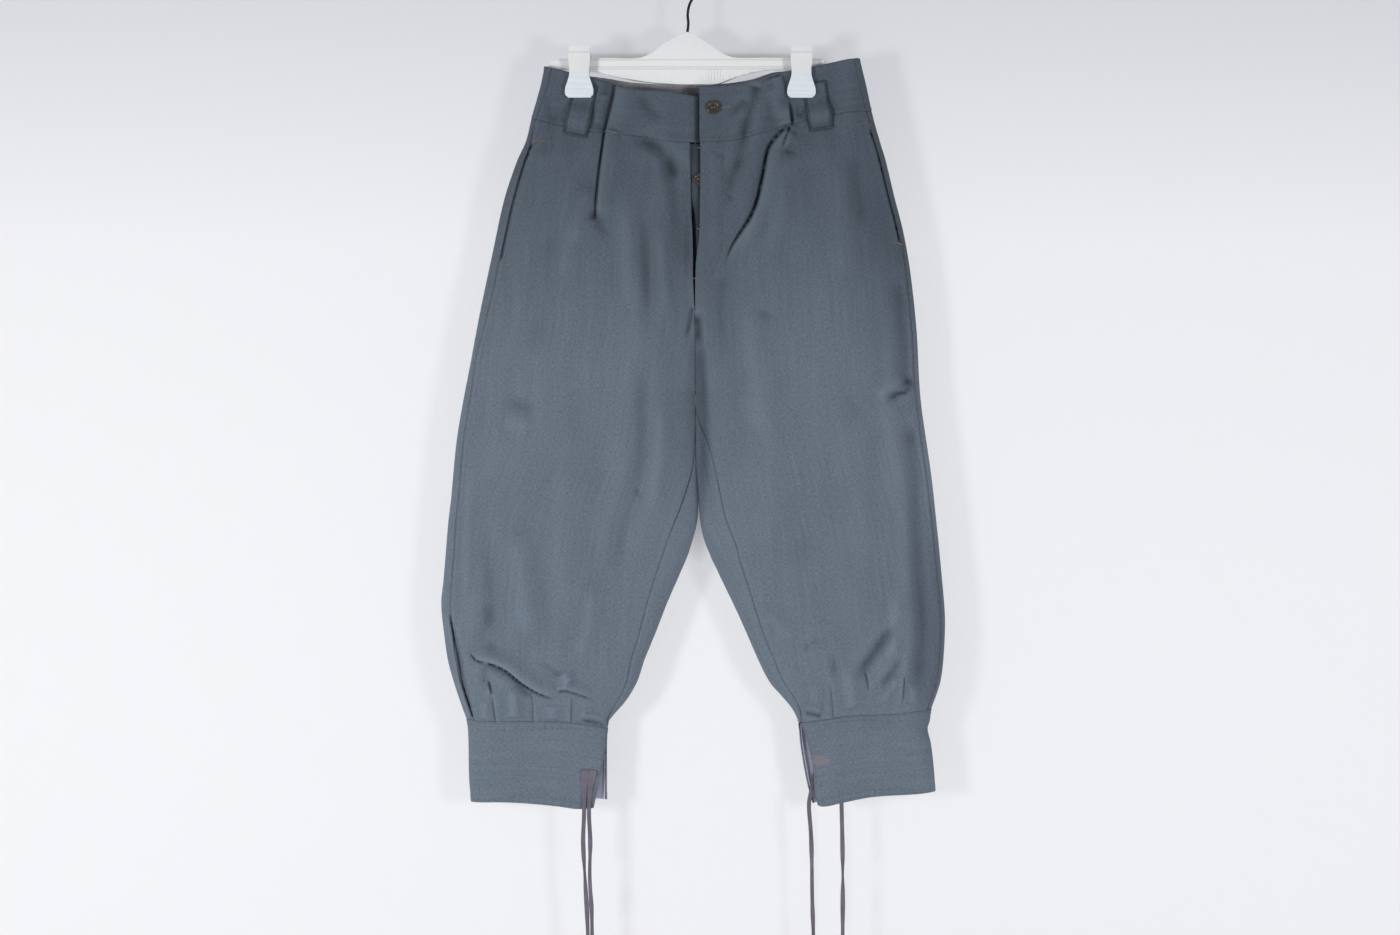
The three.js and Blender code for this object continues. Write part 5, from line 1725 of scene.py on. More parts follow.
@dataclass
class Waistband:
    """The waistband's two front parts, its back part, and the facing that shows above the front."""

    front_columns: int = 141
    rows: int = 45
    back_columns: int = 241
    facing_columns: int = 161
    under_lap_end: float = 51
    under_lap_share: float = 0.25
    under_lap_step: float = 2.8
    left_end: float = 15.2
    facing_gap: float = 0.5
    top_fold: Strip = Strip(0.3, 4.5, 0.3, 10)
    foot_fold: Strip = Strip(0.3, 4.5, 0.3, 12)
    ditch: Strip = Strip(-0.7, 1.3)
    top_row: float = 2.2
    foot_row: float = 2.0
    lap_shade: float = 2.4

    def front(self, half: Half) -> Cut:
        """A front part, from the side seam to its end at the centre; the right one has the under-lap."""
        leg = LEGS[half]
        shares, columns = odd_shares(self.rows), odd_shares(self.front_columns)
        rough = between(BAND_LEVELS, shares)
        start = leg.outseam_turn(rough, HALF_GAP)
        outer, inner = leg.value("outer", rough), leg.value("inner", rough)
        if half is Half.RIGHT:
            end = np.full(rough.shape, 1 + self.under_lap_share)
        else:
            end = turn_at((self.left_end - outer) / (inner - outer))
        turn = start[:, None] + (end - start)[:, None] * columns[None, :]
        across = np.where(turn < 1, across_at(np.minimum(turn, 1)), turn)
        top = BAND_TOP[half, Face.FRONT].at("down", across)
        bottom = WAIST_SEAM[half, Face.FRONT].at("down", across) - HALF_GAP
        down = top + (bottom - top) * shares[:, None]
        outer, inner = leg.value("outer", down), leg.value("inner", down)
        beyond = (turn - 1) / self.under_lap_share
        lap = inner + (self.under_lap_end - inner) * beyond
        x = np.where(turn < 1, outer + (inner - outer) * across, lap)
        y = leg.surface_y(Face.FRONT, x, down)
        if half is Half.RIGHT:
            y = y + self.under_lap_step * smooth(-2, 13, x)
        return Cut(np.stack([x, y, -down], axis=-1), (0, -1, 0))

    def back(self, inset: float, first: float, last: float, columns: int, inwards: float) -> Cut:
        """The back part or the facing.

        Args:
            inset: how far its top and bottom stay inside the band's own.
            first: where it starts, from 0 at the right side seam to 2 at the left one.
            last: where it ends.
            columns: how many columns it takes.
            inwards: how far inside the band's outer side it lies.

        Returns:
            The cloth.
        """
        shares, steps = odd_shares(self.rows), odd_shares(columns)
        place = first + (last - first) * steps
        parts = []
        for half, here in ((Half.RIGHT, place < 1), (Half.LEFT, place >= 1)):
            leg = LEGS[half]
            local = (place if half is Half.RIGHT else 2 - place)[here][None, :]
            side = leg.outseam_turn(between(BAND_LEVELS, shares), -HALF_GAP)[:, None]
            turn = np.maximum(2 + side - (1 + side) * local, BACK_START)
            top = leg.level(BAND_TOP, turn) + inset
            bottom = leg.level(WAIST_SEAM, turn) - HALF_GAP - inset
            down = top + (bottom - top) * shares[:, None]
            parts.append(leg.points(turn, down))
        cut = Cut(np.hstack(parts), (0, 1, 0))
        return Cut(cut.points - inwards * cut.normals(), (0, 1, 0))

    def sewn(self, cut: Cut, seams: Sequence[Edge], stitching: Stitching) -> Cut:
        """A part with its two long edges folded and sewn, and pressed in at its seams."""
        cut = cut.raised(Edge.TOP, self.top_fold).raised(Edge.BOTTOM, self.foot_fold)
        for edge in seams:
            cut = cut.raised(edge, self.ditch)
        stitching.sew(cut, Edge.BOTTOM, (self.foot_row,), FINE)
        stitching.sew(cut, Edge.TOP, (self.top_row,), FINE)
        return cut

    def build(self, finishes: Finishes, stitching: Stitching) -> None:
        """Makes the band and its facing.

        Args:
            finishes: the garment's finishes.
            stitching: takes the band's stitches.
        """
        band = Wall(BAND_THICK, 0.3, turned=True)
        for half in Half:
            node = f"waistband_front_{half.value}"
            cut = self.sewn(self.front(half), (Edge.START,), stitching)
            x = cut.points[..., 0]
            # Painted shade on the right part where the left end laps over it
            shade = self.lap_shade * smooth(5, 13, x) * (1 - smooth(16, 22, x)) if half is Half.RIGHT else 0.0
            piece = dress(band.build(f"{node}_cloth", cut, finishes.drill, shade), "drill", node)
        cut = self.sewn(self.back(0, 0, 2, self.back_columns, 0), (Edge.START, Edge.END), stitching)
        piece = dress(band.build("waistband_back_cloth", cut, finishes.drill), "drill", "waistband_back")
        cut = self.back(0.6, 1 / 3, 5 / 3, self.facing_columns, BAND_THICK + self.facing_gap)
        facing = Wall(LINING_THICK, 0.3, turned=True).build("waistband_facing_cloth", cut, finishes.facing)
        dress(facing, "facing", "waistband_facing")


@dataclass
class FlyShield:
    """The under-fly, which shows in the gap between the two fronts, darkened with painted shade."""

    across: Point = (-7, 44)
    down: Point = (236, 416)
    drop: float = 3.3
    sag: float = 7.0
    thickness: float = 1.6
    clearance: float = 0.5
    shade: float = 1.1
    deeper_shade: float = 0.9

    def build(self, finishes: Finishes) -> None:
        """Makes the shield."""
        x, down = np.meshgrid(np.linspace(*self.across, 41), np.linspace(*self.down, 101))
        y = front_y(x, down) + PANEL_THICK + self.clearance + self.drop * smooth(-2, 8, x)
        y = y + self.sag * smooth(296, 336, down) * smooth(-4, 8, x)
        cut = Cut(np.stack([x, y, -down], axis=-1), (0, -1, 0))
        # Painted shade of the gap, deeper under the left front's edge
        shade = self.shade + self.deeper_shade * smooth(9, 15, x)
        piece = Wall(self.thickness, 0.2).build("fly_shield_cloth", cut, finishes.drill, shade)
        dress(piece, "drill", "fly_shield")


@dataclass
class Cuffs:
    """The two deep cuffs, each with its lining."""

    columns: int = 261
    rows: int = 61
    lining_gap: float = 0.5
    lining_trim: float = 0.06
    lining_columns: int = 161
    seam_fold: Strip = Strip(0.35, 7.0, 0.3, 10)
    hem: Strip = Strip(0.3, 9.0, 0.25, 12)
    slit_hem: Strip = Strip(0.3, 6.0, 0.15, 9)
    rows_of: dict[Edge, tuple[float, ...]] = field(
        default_factory=lambda: {Edge.TOP: (1.8, 6.2), Edge.BOTTOM: (2.4, 8.2), Edge.END: (2.2,)}
    )
    flats: dict[Half, float] = field(default_factory=lambda: {Half.RIGHT: 0.37, Half.LEFT: 0.34})

    def cuff(self, leg: Leg, columns: int) -> Cut:
        """A cuff, from the inner edge round the back and the outer edge to the slit in front."""
        shares, steps = odd_shares(self.rows), odd_shares(columns)
        rough = between(CUFF_LEVELS, shares)
        end = 2 + turn_at(1 - leg.slit.at("inset", rough) / leg.width(rough))
        turn = BACK_START + (end - BACK_START)[:, None] * steps[None, :]
        top = leg.level(CUFF_SEAM, turn) + 0.35
        bottom = leg.level(HEM, turn)
        down = top + (bottom - top) * shares[:, None]
        return Cut(leg.points(turn, down), (0, 1, 0))

    def lined(self, cuff: Cut) -> Cut:
        """The lining that lies inside a cuff."""
        points = cuff.points - (CUFF_THICK + self.lining_gap) * cuff.normals()
        step = points[1:] - points[:-1]
        trim = (len(points) - 1) / 10 * self.lining_trim
        points[0] += step[0] * trim
        points[-1] -= step[-1] * trim
        return Cut(points, cuff.outwards)

    def build(self, finishes: Finishes, stitching: Stitching) -> None:
        """Makes the cuffs and their linings, and sews their edges."""
        for half, leg in LEGS.items():
            cut = self.cuff(leg, self.columns)
            lining = self.lined(self.cuff(leg, self.lining_columns))
            cut = cut.raised(Edge.TOP, self.seam_fold).raised(Edge.BOTTOM, self.hem)
            cut = cut.raised(Edge.END, self.slit_hem)
            for edge, distances in self.rows_of.items():
                stitching.sew(cut, edge, distances, FINE)
            node = f"cuff_{half.value}"
            piece = Wall(CUFF_THICK, 0.3, turned=True).build(f"{node}_cloth", cut, finishes.cuff_drill)
            dress(piece, "drill", node)
            wall = Wall(LINING_THICK, 0.2, turned=True)
            inside = wall.build(f"cuff_lining_{half.value}_cloth", lining, finishes.lining)
            dress(inside, "lining", f"cuff_lining_{half.value}")


@dataclass(frozen=True)
class BeltLoop:
    """One belt loop: a folded strip that stands off the waistband between its two sewn ends."""

    name: str
    face: Face
    top: Point
    bottom: Point
    free: float
    width: float = 29
    thickness: float = 2.0
    bow: float = 4.6
    rise: float = 18
    sewn: float = 2
    seat: float = 0.7
    # Painted shade on the cloth round the loop's outline: how dark, and how far out it reaches
    rim_shade: float = 1.1
    rim_reach: float = 2.4
    side: Strip = Strip(0.25, 7.5, 0.12, 8)
    side_rows: Point = (2.2, 6.8)
    end: Strip = Strip(0.4, 1.6, 0.1, 7)

    def cut(self) -> Cut:
        """The strip's outer side."""
        share, side = np.meshgrid(np.linspace(0, 1, 61), np.linspace(-0.5, 0.5, 25), indexing="ij")
        top, bottom = np.array(self.top), np.array(self.bottom)
        along = bottom - top
        along = along / np.hypot(*along)
        x = top[0] + (bottom[0] - top[0]) * share + side * self.width * along[1]
        down = top[1] + (bottom[1] - top[1]) * share - side * self.width * along[0]
        level = top[1] + (bottom[1] - top[1]) * share
        fall = self.bottom[1] - self.sewn
        bow = smooth(self.free, self.free + self.rise, level) * (1 - smooth(fall - self.rise, fall, level))
        stand = self.seat + self.thickness + self.bow * bow
        sign = -1 if self.face is Face.FRONT else 1
        y = front_y(x, down, self.face) + sign * stand
        return Cut(np.stack([x, y, -down], axis=-1), (0, sign, 0))

    def build(self, finishes: Finishes, stitching: Stitching) -> None:
        """Makes the loop and sews its edges."""
        cut = self.cut()
        for edge in (Edge.START, Edge.END):
            cut = cut.raised(edge, self.side)
            stitching.sew(cut, edge, self.side_rows, FINE)
        cut = cut.raised(Edge.BOTTOM, self.end)
        piece = Wall(self.thickness, 0.35).build(f"{self.name}_cloth", cut, finishes.drill)
        dress(piece, "drill", self.name)


def painted_loop_shade(points: Array, outwards: float) -> Array:
    """The painted shade close to a belt loop's outline, as the depth of a hollow."""
    made = np.zeros(points.shape[:2])
    for loop in BELT_LOOPS:
        if (loop.face is Face.FRONT) == (outwards < 0):
            top, bottom = np.array(loop.top), np.array(loop.bottom)
            length = np.hypot(*(bottom - top))
            along = (bottom - top) / length
            x, down = points[..., 0] - top[0], -points[..., 2] - top[1]
            across = np.abs(x * along[1] - down * along[0]) - loop.width / 2
            share = x * along[0] + down * along[1]
            outside = np.maximum(across, np.maximum(-share, share - length))
            made += loop.rim_shade * (1 - smooth(0.6, loop.rim_reach, outside)) * (outside > -3)
    return made


BELT_LOOPS = (
    BeltLoop("belt_loop_front_right", Face.FRONT, (-132.4, 160), (-145.9, 226), 181),
    BeltLoop("belt_loop_front_left", Face.FRONT, (163.2, 157), (172.6, 217.5), 179),
    BeltLoop("belt_loop_back_centre", Face.BACK, (8, 160), (7, 219), 164),
)


# Each bar tack's two ends on the front as (x, down), its stitches' length and its thread
BAR_TACKS = (
    ((-199, 233), (-182, 233), 1.6, Yarn.RUST),
    ((-252, 386), (-230, 394), 1.6, Yarn.RUST),
    ((-258.7, 443.6), (-256.1, 458.8), 1.3, Yarn.RUST),
    ((-270.4, 454.8), (-257.4, 457.9), 0.9, Yarn.TAN),
    ((233, 212), (242, 212), 1.6, Yarn.RUST),
    ((218.4, 212.2), (230.7, 209.6), 0.9, Yarn.TAN),
    ((266, 363), (283, 367), 2.0, Yarn.RUST),
    ((12.2, 242), (16.4, 242), 1.1, Yarn.TAN),
    ((11.6, 347), (15.8, 347), 1.1, Yarn.TAN),
    ((5.9, 411), (11.2, 411), 1.4, Yarn.RUST),
    ((2.0, 444), (5.8, 444), 1.0, Yarn.TAN),
    ((41.6, 189.3), (54.6, 187.6), 2.6, Yarn.TAN),
    ((142.0, 984.2), (144.4, 984.6), 1.6, Yarn.TAN),
)

# Rows of stitches that are drawn on the front as points of (x, down)
ROWS = (
    (((17.4, 408), (24, 405), (31.2, 400.7)), Yarn.SLATE),
    (((33.8, 424), (41.6, 433), (42.2, 445), (40.3, 463)), Yarn.SLATE),
    (((44, 240), (45, 300), (44, 360), (37, 394), (26, 412)), Yarn.SLATE),
    (((225, 165.4), (231.4, 186), (236.8, 205.8)), Yarn.TAN),
    (((239, 215), (262, 294), (277, 360)), Yarn.SLATE),
    (((280.5, 369), (283.6, 396), (285.6, 424)), Yarn.TAN),
)


# The tape's section, as shares of half its width and of half its thickness: a flat strip, a little
# thinner along its middle
TAPE_SIDE = ((-0.5, 1), (0, 0.92), (0.5, 1), (0.86, 0.95), (1, 0.4), (1, -0.4), (0.86, -0.95))
TAPE_SECTION = np.array([*TAPE_SIDE, *((-across, -up) for across, up in TAPE_SIDE)])


@dataclass(frozen=True)
class Tie:
    """One cuff tape, sewn down at its upper end and hanging free below it."""

    name: str
    half: Half
    side: str
    sewn: tuple[Point, ...]
    free: tuple[Point3, ...]
    twist: float
    patch: float = 0.0
    width: float = 5.4
    thickness: float = 1.5
    patch_length: float = 46
    end_bulge: float = 0.3

    def route(self) -> Array:
        """The tape's middle line, in millimetres."""
        stand = {"outside": -SEAM_GAP - 0.75, "front lining": 4.35, "back lining": -4.35}[self.side]
        face = Face.BACK if self.side == "back lining" else Face.FRONT
        points = []
        for x, down in self.sewn:
            y = float(LEGS[self.half].surface_y(face, np.array([x]), np.array([down]))[0])
            points.append((x, y + stand, -down))
        points += [(x, y, -down) for x, y, down in self.free]
        return evenly(rounded_route(points, 10), 3.0)

    def build(self, finishes: Finishes) -> None:
        """Makes the tape: a flat section carried along the route, turning a little as it hangs."""
        route = self.route()
        lengths = np.r_[0, np.cumsum(np.linalg.norm(np.diff(route, axis=0), axis=1))]
        share = lengths / lengths[-1]
        tangent = unit(np.gradient(route, axis=0))
        swing = np.sin(13 * share + 4 * self.twist) + 0.6 * np.sin(29 * share + self.twist)
        angle = self.twist * smooth(0.25, 1.0, share) + 0.55 * swing * smooth(0.2, 0.4, share)
        sideways = np.stack([np.cos(angle), np.sin(angle), np.zeros_like(angle)], axis=1)
        sideways = unit(sideways - (sideways * tangent).sum(axis=1, keepdims=True) * tangent)
        flat = np.cross(sideways, tangent)
        spread = self.patch * (1 - smooth(0, self.patch_length, lengths))
        spread = spread + 0.12 * self.width * np.sin(23 * share) * smooth(0.2, 0.4, share)
        half, thick = (self.width + spread[:, None, None]) / 2, self.thickness / 2
        rings = route[:, None] + TAPE_SECTION[:, 0][None, :, None] * half * sideways[:, None]
        rings = rings + (TAPE_SECTION[:, 1] * thick)[None, :, None] * flat[:, None]
        count, around = rings.shape[:2]
        ends = (route[0] - self.end_bulge * tangent[0], route[-1] + self.end_bulge * tangent[-1])
        vertices = np.vstack([rings.reshape(-1, 3), *ends])
        faces = []
        for ring in range(count - 1):
            for place in range(around):
                after = (place + 1) % around
                a, b = ring * around, (ring + 1) * around
                faces.append((a + place, b + place, b + after, a + after))
        for place in range(around):
            after = (place + 1) % around
            faces.append((count * around, place, after))
            faces.append((count * around + 1, (count - 1) * around + after, (count - 1) * around + place))
        piece = new_object(f"{self.name}_tape", vertices, faces, finishes.tape)
        across = TAPE_SECTION[:, 0] * self.width / 2 * MM
        grid = np.stack([np.tile(across, count), np.repeat(lengths * MM, around)], axis=1)
        Wall.give_map(piece, np.vstack([grid, [[0, 0]], [[0, lengths[-1] * MM]]]))
        dress(piece, "tape", self.name)


TIES = (
    Tie("tie_right_front", Half.RIGHT, "outside", ((-133.6, 1046), (-134.2, 1080)), (
        (-134.4, -12.4, 1104), (-135.6, -11.6, 1140), (-133.4, -11, 1185), (-130.8, -10.4, 1230),
        (-129.6, -9.4, 1275), (-131.4, -8.8, 1330),
    ), 0.5, 5.5),
    Tie("tie_right_back", Half.RIGHT, "outside", ((-123, 1046), (-127.2, 1080)), (
        (-128, -12.6, 1104), (-126.4, -12.4, 1140), (-127, -12.4, 1185), (-124.6, -12, 1230),
        (-123.8, -11.6, 1275), (-122.6, -11, 1318),
    ), -0.4, 5.5),
    Tie("tie_left_front", Half.LEFT, "front lining", ((197, 1052), (198.4, 1068)), (
        (199.6, -4.2, 1104), (200.6, -4, 1150), (201, -3.6, 1200), (200.9, -3.4, 1262), (201.6, -3.2, 1326),
    ), 0.4),
    Tie("tie_left_back", Half.LEFT, "back lining", ((168, 1042),), (
        (163.6, 1.4, 1058), (159.8, -3.2, 1076), (157, -4.4, 1094), (159.6, -4, 1130), (160.8, -3.4, 1168),
        (161.4, -2.6, 1215), (163, -2, 1265), (164.6, -1.6, 1338),
    ), -0.5),
)


# Hard pieces, modelled by hand with Blender's tools


def deselect_all() -> None:
    """Leaves nothing selected, so that an operator acts on new work alone."""
    for item in bpy.context.selected_objects:
        item.select_set(False)


def pick_faces(made: bpy.types.Object, wanted: Callable[[Vector, Vector], bool]) -> None:
    """Selects the faces whose middle, in millimetres, and normal pass a test, in edit mode."""
    mesh = bmesh.from_edit_mesh(made.data)
    for item in (*mesh.verts, *mesh.edges):
        item.select = False
    for face in mesh.faces:
        face.select = wanted(face.calc_center_median() / MM, face.normal)
    mesh.select_flush_mode()
    bmesh.update_edit_mesh(made.data)


@dataclass(frozen=True)
class Station:
    """One section of a bar that is drawn out along x or down: its place, its middle and its size."""

    place: float
    middle: Point
    size: Point


def drawn_out(name: str, axis: str, stations: Sequence[Station]) -> bpy.types.Object:
    """Extrudes a bar section by section, as by hand.

    Args:
        name: the object's name.
        axis: "x" for a bar that runs along x, with sections of (y, down), or "z" for one that runs
            down, with sections of (x, y).
        stations: its sections.

    Returns:
        The object, left in edit mode with its last end selected.
    """
    def at(station: Station) -> Vector:
        """The middle of a section, in metres."""
        a, b = station.middle
        place = (station.place, a, -b) if axis == "x" else (a, b, -station.place)
        return Vector(place) * MM

    def scaled(station: Station, other: Station) -> Point3:
        """How a section's size differs from another's."""
        a, b = station.size[0] / other.size[0], station.size[1] / other.size[1]
        return (1, a, b) if axis == "x" else (a, b, 1)

    first = stations[0]
    step = 0.2 * abs(stations[1].place - first.place) * MM
    deselect_all()
    a, b = first.size[0] * MM, first.size[1] * MM
    direction = Vector((1, 0, 0) if axis == "x" else (0, 0, -1))
    bpy.ops.mesh.primitive_cube_add(
        size=1, location=at(first) + direction * step / 2, scale=(step, a, b) if axis == "x" else (a, b, step)
    )
    made = bpy.context.object
    made.name = name
    bpy.ops.object.transform_apply(location=True, rotation=True, scale=True)
    bpy.ops.object.mode_set(mode="EDIT")
    bpy.ops.mesh.select_mode(type="FACE")
    pick_faces(made, lambda middle, normal: normal.dot(direction) > 0.9)
    here = at(first) + direction * step
    bpy.ops.mesh.delete(type="ONLY_FACE")
    pick_end(made, here, direction)
    previous = first
    for station in stations[1:]:
        move = at(station) - here
        bpy.ops.mesh.extrude_edges_move(TRANSFORM_OT_translate={"value": move})
        bpy.ops.transform.resize(value=scaled(station, previous), center_override=at(station))
        here, previous = at(station), station
    bpy.ops.mesh.edge_face_add()
    bpy.ops.mesh.select_all(action="SELECT")
    bpy.ops.mesh.normals_make_consistent(inside=False)
    return made


def pick_end(made: bpy.types.Object, at: Vector, direction: Vector) -> None:
    """Selects the edges of an open end."""
    bpy.ops.mesh.select_mode(type="EDGE")
    mesh = bmesh.from_edit_mesh(made.data)
    for edge in mesh.edges:
        middle = (edge.verts[0].co + edge.verts[1].co) / 2
        edge.select = edge.is_boundary and abs((middle - at).dot(direction)) < 0.1 * MM
    bmesh.update_edit_mesh(made.data)


def finished(made: bpy.types.Object, bevel: float, angle: float, materials: Sequence[bpy.types.Material],
             segments: int = 3) -> bpy.types.Object:
    """Leaves edit mode, rounds a piece's edges and gives it its finishes.

    Args:
        made: the piece.
        bevel: how wide the rounding is, in millimetres.
        angle: the least angle between faces that is rounded, in degrees.
        materials: its finishes, the first of them for every face that has no other.
        segments: how many faces the rounding takes.

    Returns:
        The piece.
    """
    if bpy.context.mode != "OBJECT":
        bpy.ops.object.mode_set(mode="OBJECT")
    rounding = made.modifiers.new("rounding", "BEVEL")
    rounding.width = bevel * MM
    rounding.segments = segments
    rounding.limit_method = "ANGLE"
    rounding.angle_limit = math.radians(angle)
    bpy.ops.object.modifier_apply(modifier=rounding.name)
    for material in materials:
        made.data.materials.append(material)
    bpy.ops.object.shade_smooth_by_angle(angle=math.radians(45))
    return made


def wire(name: str, points: Sequence[Point3], radius: float, sides: int,
         material: bpy.types.Material) -> bpy.types.Object:
    """A round wire along points in millimetres, turned into a mesh with capped ends."""
    data = bpy.data.curves.new(name, "CURVE")
    data.dimensions = "3D"
    data.bevel_depth = radius * MM
    data.bevel_resolution = sides // 4 - 1
    data.use_fill_caps = True
    line = data.splines.new("POLY")
    line.points.add(len(points) - 1)
    for point, place in zip(line.points, points):
        point.co = (*(Vector(place) * MM), 1)
    made = bpy.data.objects.new(name, data)
    bpy.context.scene.collection.objects.link(made)
    deselect_all()
    made.select_set(True)
    bpy.context.view_layer.objects.active = made
    bpy.ops.object.convert(target="MESH")
    made.data.materials.append(material)
    bpy.ops.object.shade_smooth_by_angle(angle=math.radians(50))
    return made


@dataclass(frozen=True)
class Hanger:
    """The moulded hanger bar with its wire hook."""

    depth: float = 7.6
    lip_levels: Point = (133.6, 137.0)
    lip: float = 0.5
    bead: float = 2.0
    bead_sink: float = 0.45
    bevel: float = 0.3
    wire_radius: float = 1.75
    bend_radius: float = 21.75
    bend_middle: float = 20
    upper: tuple[Point, ...] = (
        (-181.5, 129), (-176, 124), (-150, 123.6), (-100, 123.2), (-64, 123), (-47, 116), (-30, 103.5),
        (-15, 95.5), (-5, 91), (3, 91), (10, 94.5), (28, 105.5), (44, 116.5), (60, 122.5), (100, 122.8),
        (140, 123.2), (173, 123.5), (179, 128),
    )
    lower: tuple[Point, ...] = (
        (-181.5, 134), (-176, 138), (-128, 139.5), (-82, 149.5), (-48, 154.6), (-12, 157), (12, 157.2),
        (36, 157), (54, 151), (72, 144), (90, 140.4), (106, 138.5), (140, 138.5), (171, 138.5), (178, 135),
        (179, 134),
    )
    stem: tuple[Point, ...] = ((-1, 90.6), (0.4, 78), (-0.4, 66), (1.6, 54), (6.5, 44))

    def bar(self, finishes: Finishes) -> bpy.types.Object:
        """The bar: drawn out from its right end, with a bead along its top and a lip along its foot."""
        top, bottom = Table("x down", self.upper), Table("x down", self.lower)
        places = np.r_[-181.5, -180.2, np.arange(-178, 177, 4.0), 177.6, 179]
        stations = []
        for x in places:
            high, low = float(top.at("down", x)), float(bottom.at("down", x))
            stations.append(Station(float(x), (0, (high + low) / 2), (self.depth - 2 * self.lip, low - high)))
        made = drawn_out("hanger_bar_plastic", "x", stations)
        for level in self.lip_levels:
            bpy.ops.mesh.select_all(action="SELECT")
            bpy.ops.mesh.bisect(plane_co=(0, 0, -level * MM), plane_no=(0, 0, 1))
        for hand in (-1, 1):
            pick_faces(made, lambda at, normal: normal.y * hand > 0.9 and -at.z > self.lip_levels[1])
            bpy.ops.mesh.extrude_region_move(TRANSFORM_OT_translate={"value": (0, hand * self.lip * MM, 0)})
            pick_faces(made, lambda at, normal: normal.y * hand > 0.9 and -at.z < self.lip_levels[0])
            bpy.ops.mesh.inset(thickness=self.bead * MM, depth=-self.bead_sink * MM)
        return finished(made, self.bevel, 40, [finishes.hanger])

    def hook(self, finishes: Finishes) -> bpy.types.Object:
        """The hook: one bent wire."""
        points = [(x, 0.0, -down) for x, down in rounded_route(self.stem, 6).tolist()]
        for degrees in np.arange(-30, 215.1, 7.0):
            angle = math.radians(float(degrees))
            points.append((self.bend_radius * math.cos(angle), 0.0,
                           self.bend_radius * math.sin(angle) - self.bend_middle))
        return wire("hanger_hook_wire", points, self.wire_radius, 20, finishes.wire)

    def collar(self, finishes: Finishes) -> bpy.types.Object:
        """The moulded neck that holds the wire."""
        deselect_all()
        bpy.ops.mesh.primitive_cylinder_add(
            vertices=28, radius=3.4 * MM, depth=3.0 * MM, location=(-0.9 * MM, 0, -91.2 * MM)
        )
        made = bpy.context.object
        made.name = "hanger_collar"
        bpy.ops.object.transform_apply(location=True, rotation=True, scale=True)
        bpy.ops.object.mode_set(mode="EDIT")
        bpy.ops.mesh.select_mode(type="FACE")
        pick_faces(made, lambda at, normal: normal.z > 0.9)
        bpy.ops.mesh.inset(thickness=0.9 * MM, depth=0.8 * MM)
        return finished(made, 0.4, 30, [finishes.hanger])

    def build(self, finishes: Finishes) -> None:
        """Makes the bar, its collar and the hook."""
        dress(self.bar(finishes), "hanger_plastic", "hanger_bar")
        dress(self.collar(finishes), "hanger_plastic")
        dress(self.hook(finishes), "hook_wire", "hanger_hook")


@dataclass(frozen=True)
class Clip:
    """One plastic clip: a front and a back jaw, with a leaf spring between them."""

    half: Half
    x: float
    jaw: float = 3.0
    rim: float = 1.5
    rim_step: float = 0.45
    pad_from: float = 143
    rows: tuple[tuple[float, float, float, float], ...] = (
        (107.8, 8.2, 16.8, 13.6), (110.4, 12.2, 16.4, 13), (122, 14.2, 15.2, 10), (134, 13.4, 14.9, 8.4),
        (141, 12.7, 14.9, 5.4), (149, 13.2, 14.9, -0.4), (156, 15.2, 14.9, -4.3), (165, 18, 14.9, -4.4),
        (173, 18, 14.9, -4.4), (177, 14.6, 14.9, -4.4),
    )

    def jaw_piece(self, face: Face, finishes: Finishes) -> bpy.types.Object:
        """A jaw: a curved plate with a rim round its pad."""
        table = Table("down half front back", self.rows)
        levels = np.r_[107.8, 108.4, 109.2, 110.4, np.arange(112, 173, 2.5), 173, 174.6, 175.8, 176.6, 177]
        stations = []
        for down in levels:
            half = float(table.at("half", down))
            if face is Face.FRONT:
                y = -float(table.at("front", down)) - self.jaw / 2
            else:
                y = float(table.at("back", down)) + self.jaw / 2
            stations.append(Station(float(down), (self.x, y), (2 * half, self.jaw)))
        made = drawn_out(f"clip_{self.half.value}_{face.value}_plastic", "z", stations)
        hand = -1 if face is Face.FRONT else 1
        pick_faces(made, lambda at, normal: normal.y * hand > 0.6 and -at.z > self.pad_from)
        bpy.ops.mesh.inset(thickness=self.rim * MM, depth=-self.rim_step * MM)
        bpy.ops.object.mode_set(mode="OBJECT")
        finished(made, 0.7, 35, [finishes.clip, finishes.grip])
        for part in made.data.polygons:
            part.material_index = int(-part.center.z / MM > self.pad_from)
        return made

    def build(self, frame: dict, finishes: Finishes) -> None:
        """Makes the jaws, and gives the spring its finish."""
        for face in Face:
            dress(self.jaw_piece(face, finishes), "clip_plastic", f"clip_{self.half.value}_{face.value}")
        refinish(frame, f"clip_{self.half.value}_spring", finishes.spring)


def refinish(frame: dict, node: str, material: bpy.types.Material) -> None:
    """Gives a node that is shown as it is a better finish."""
    for slot in frame["nodes"][node].material_slots:
        slot.material = material


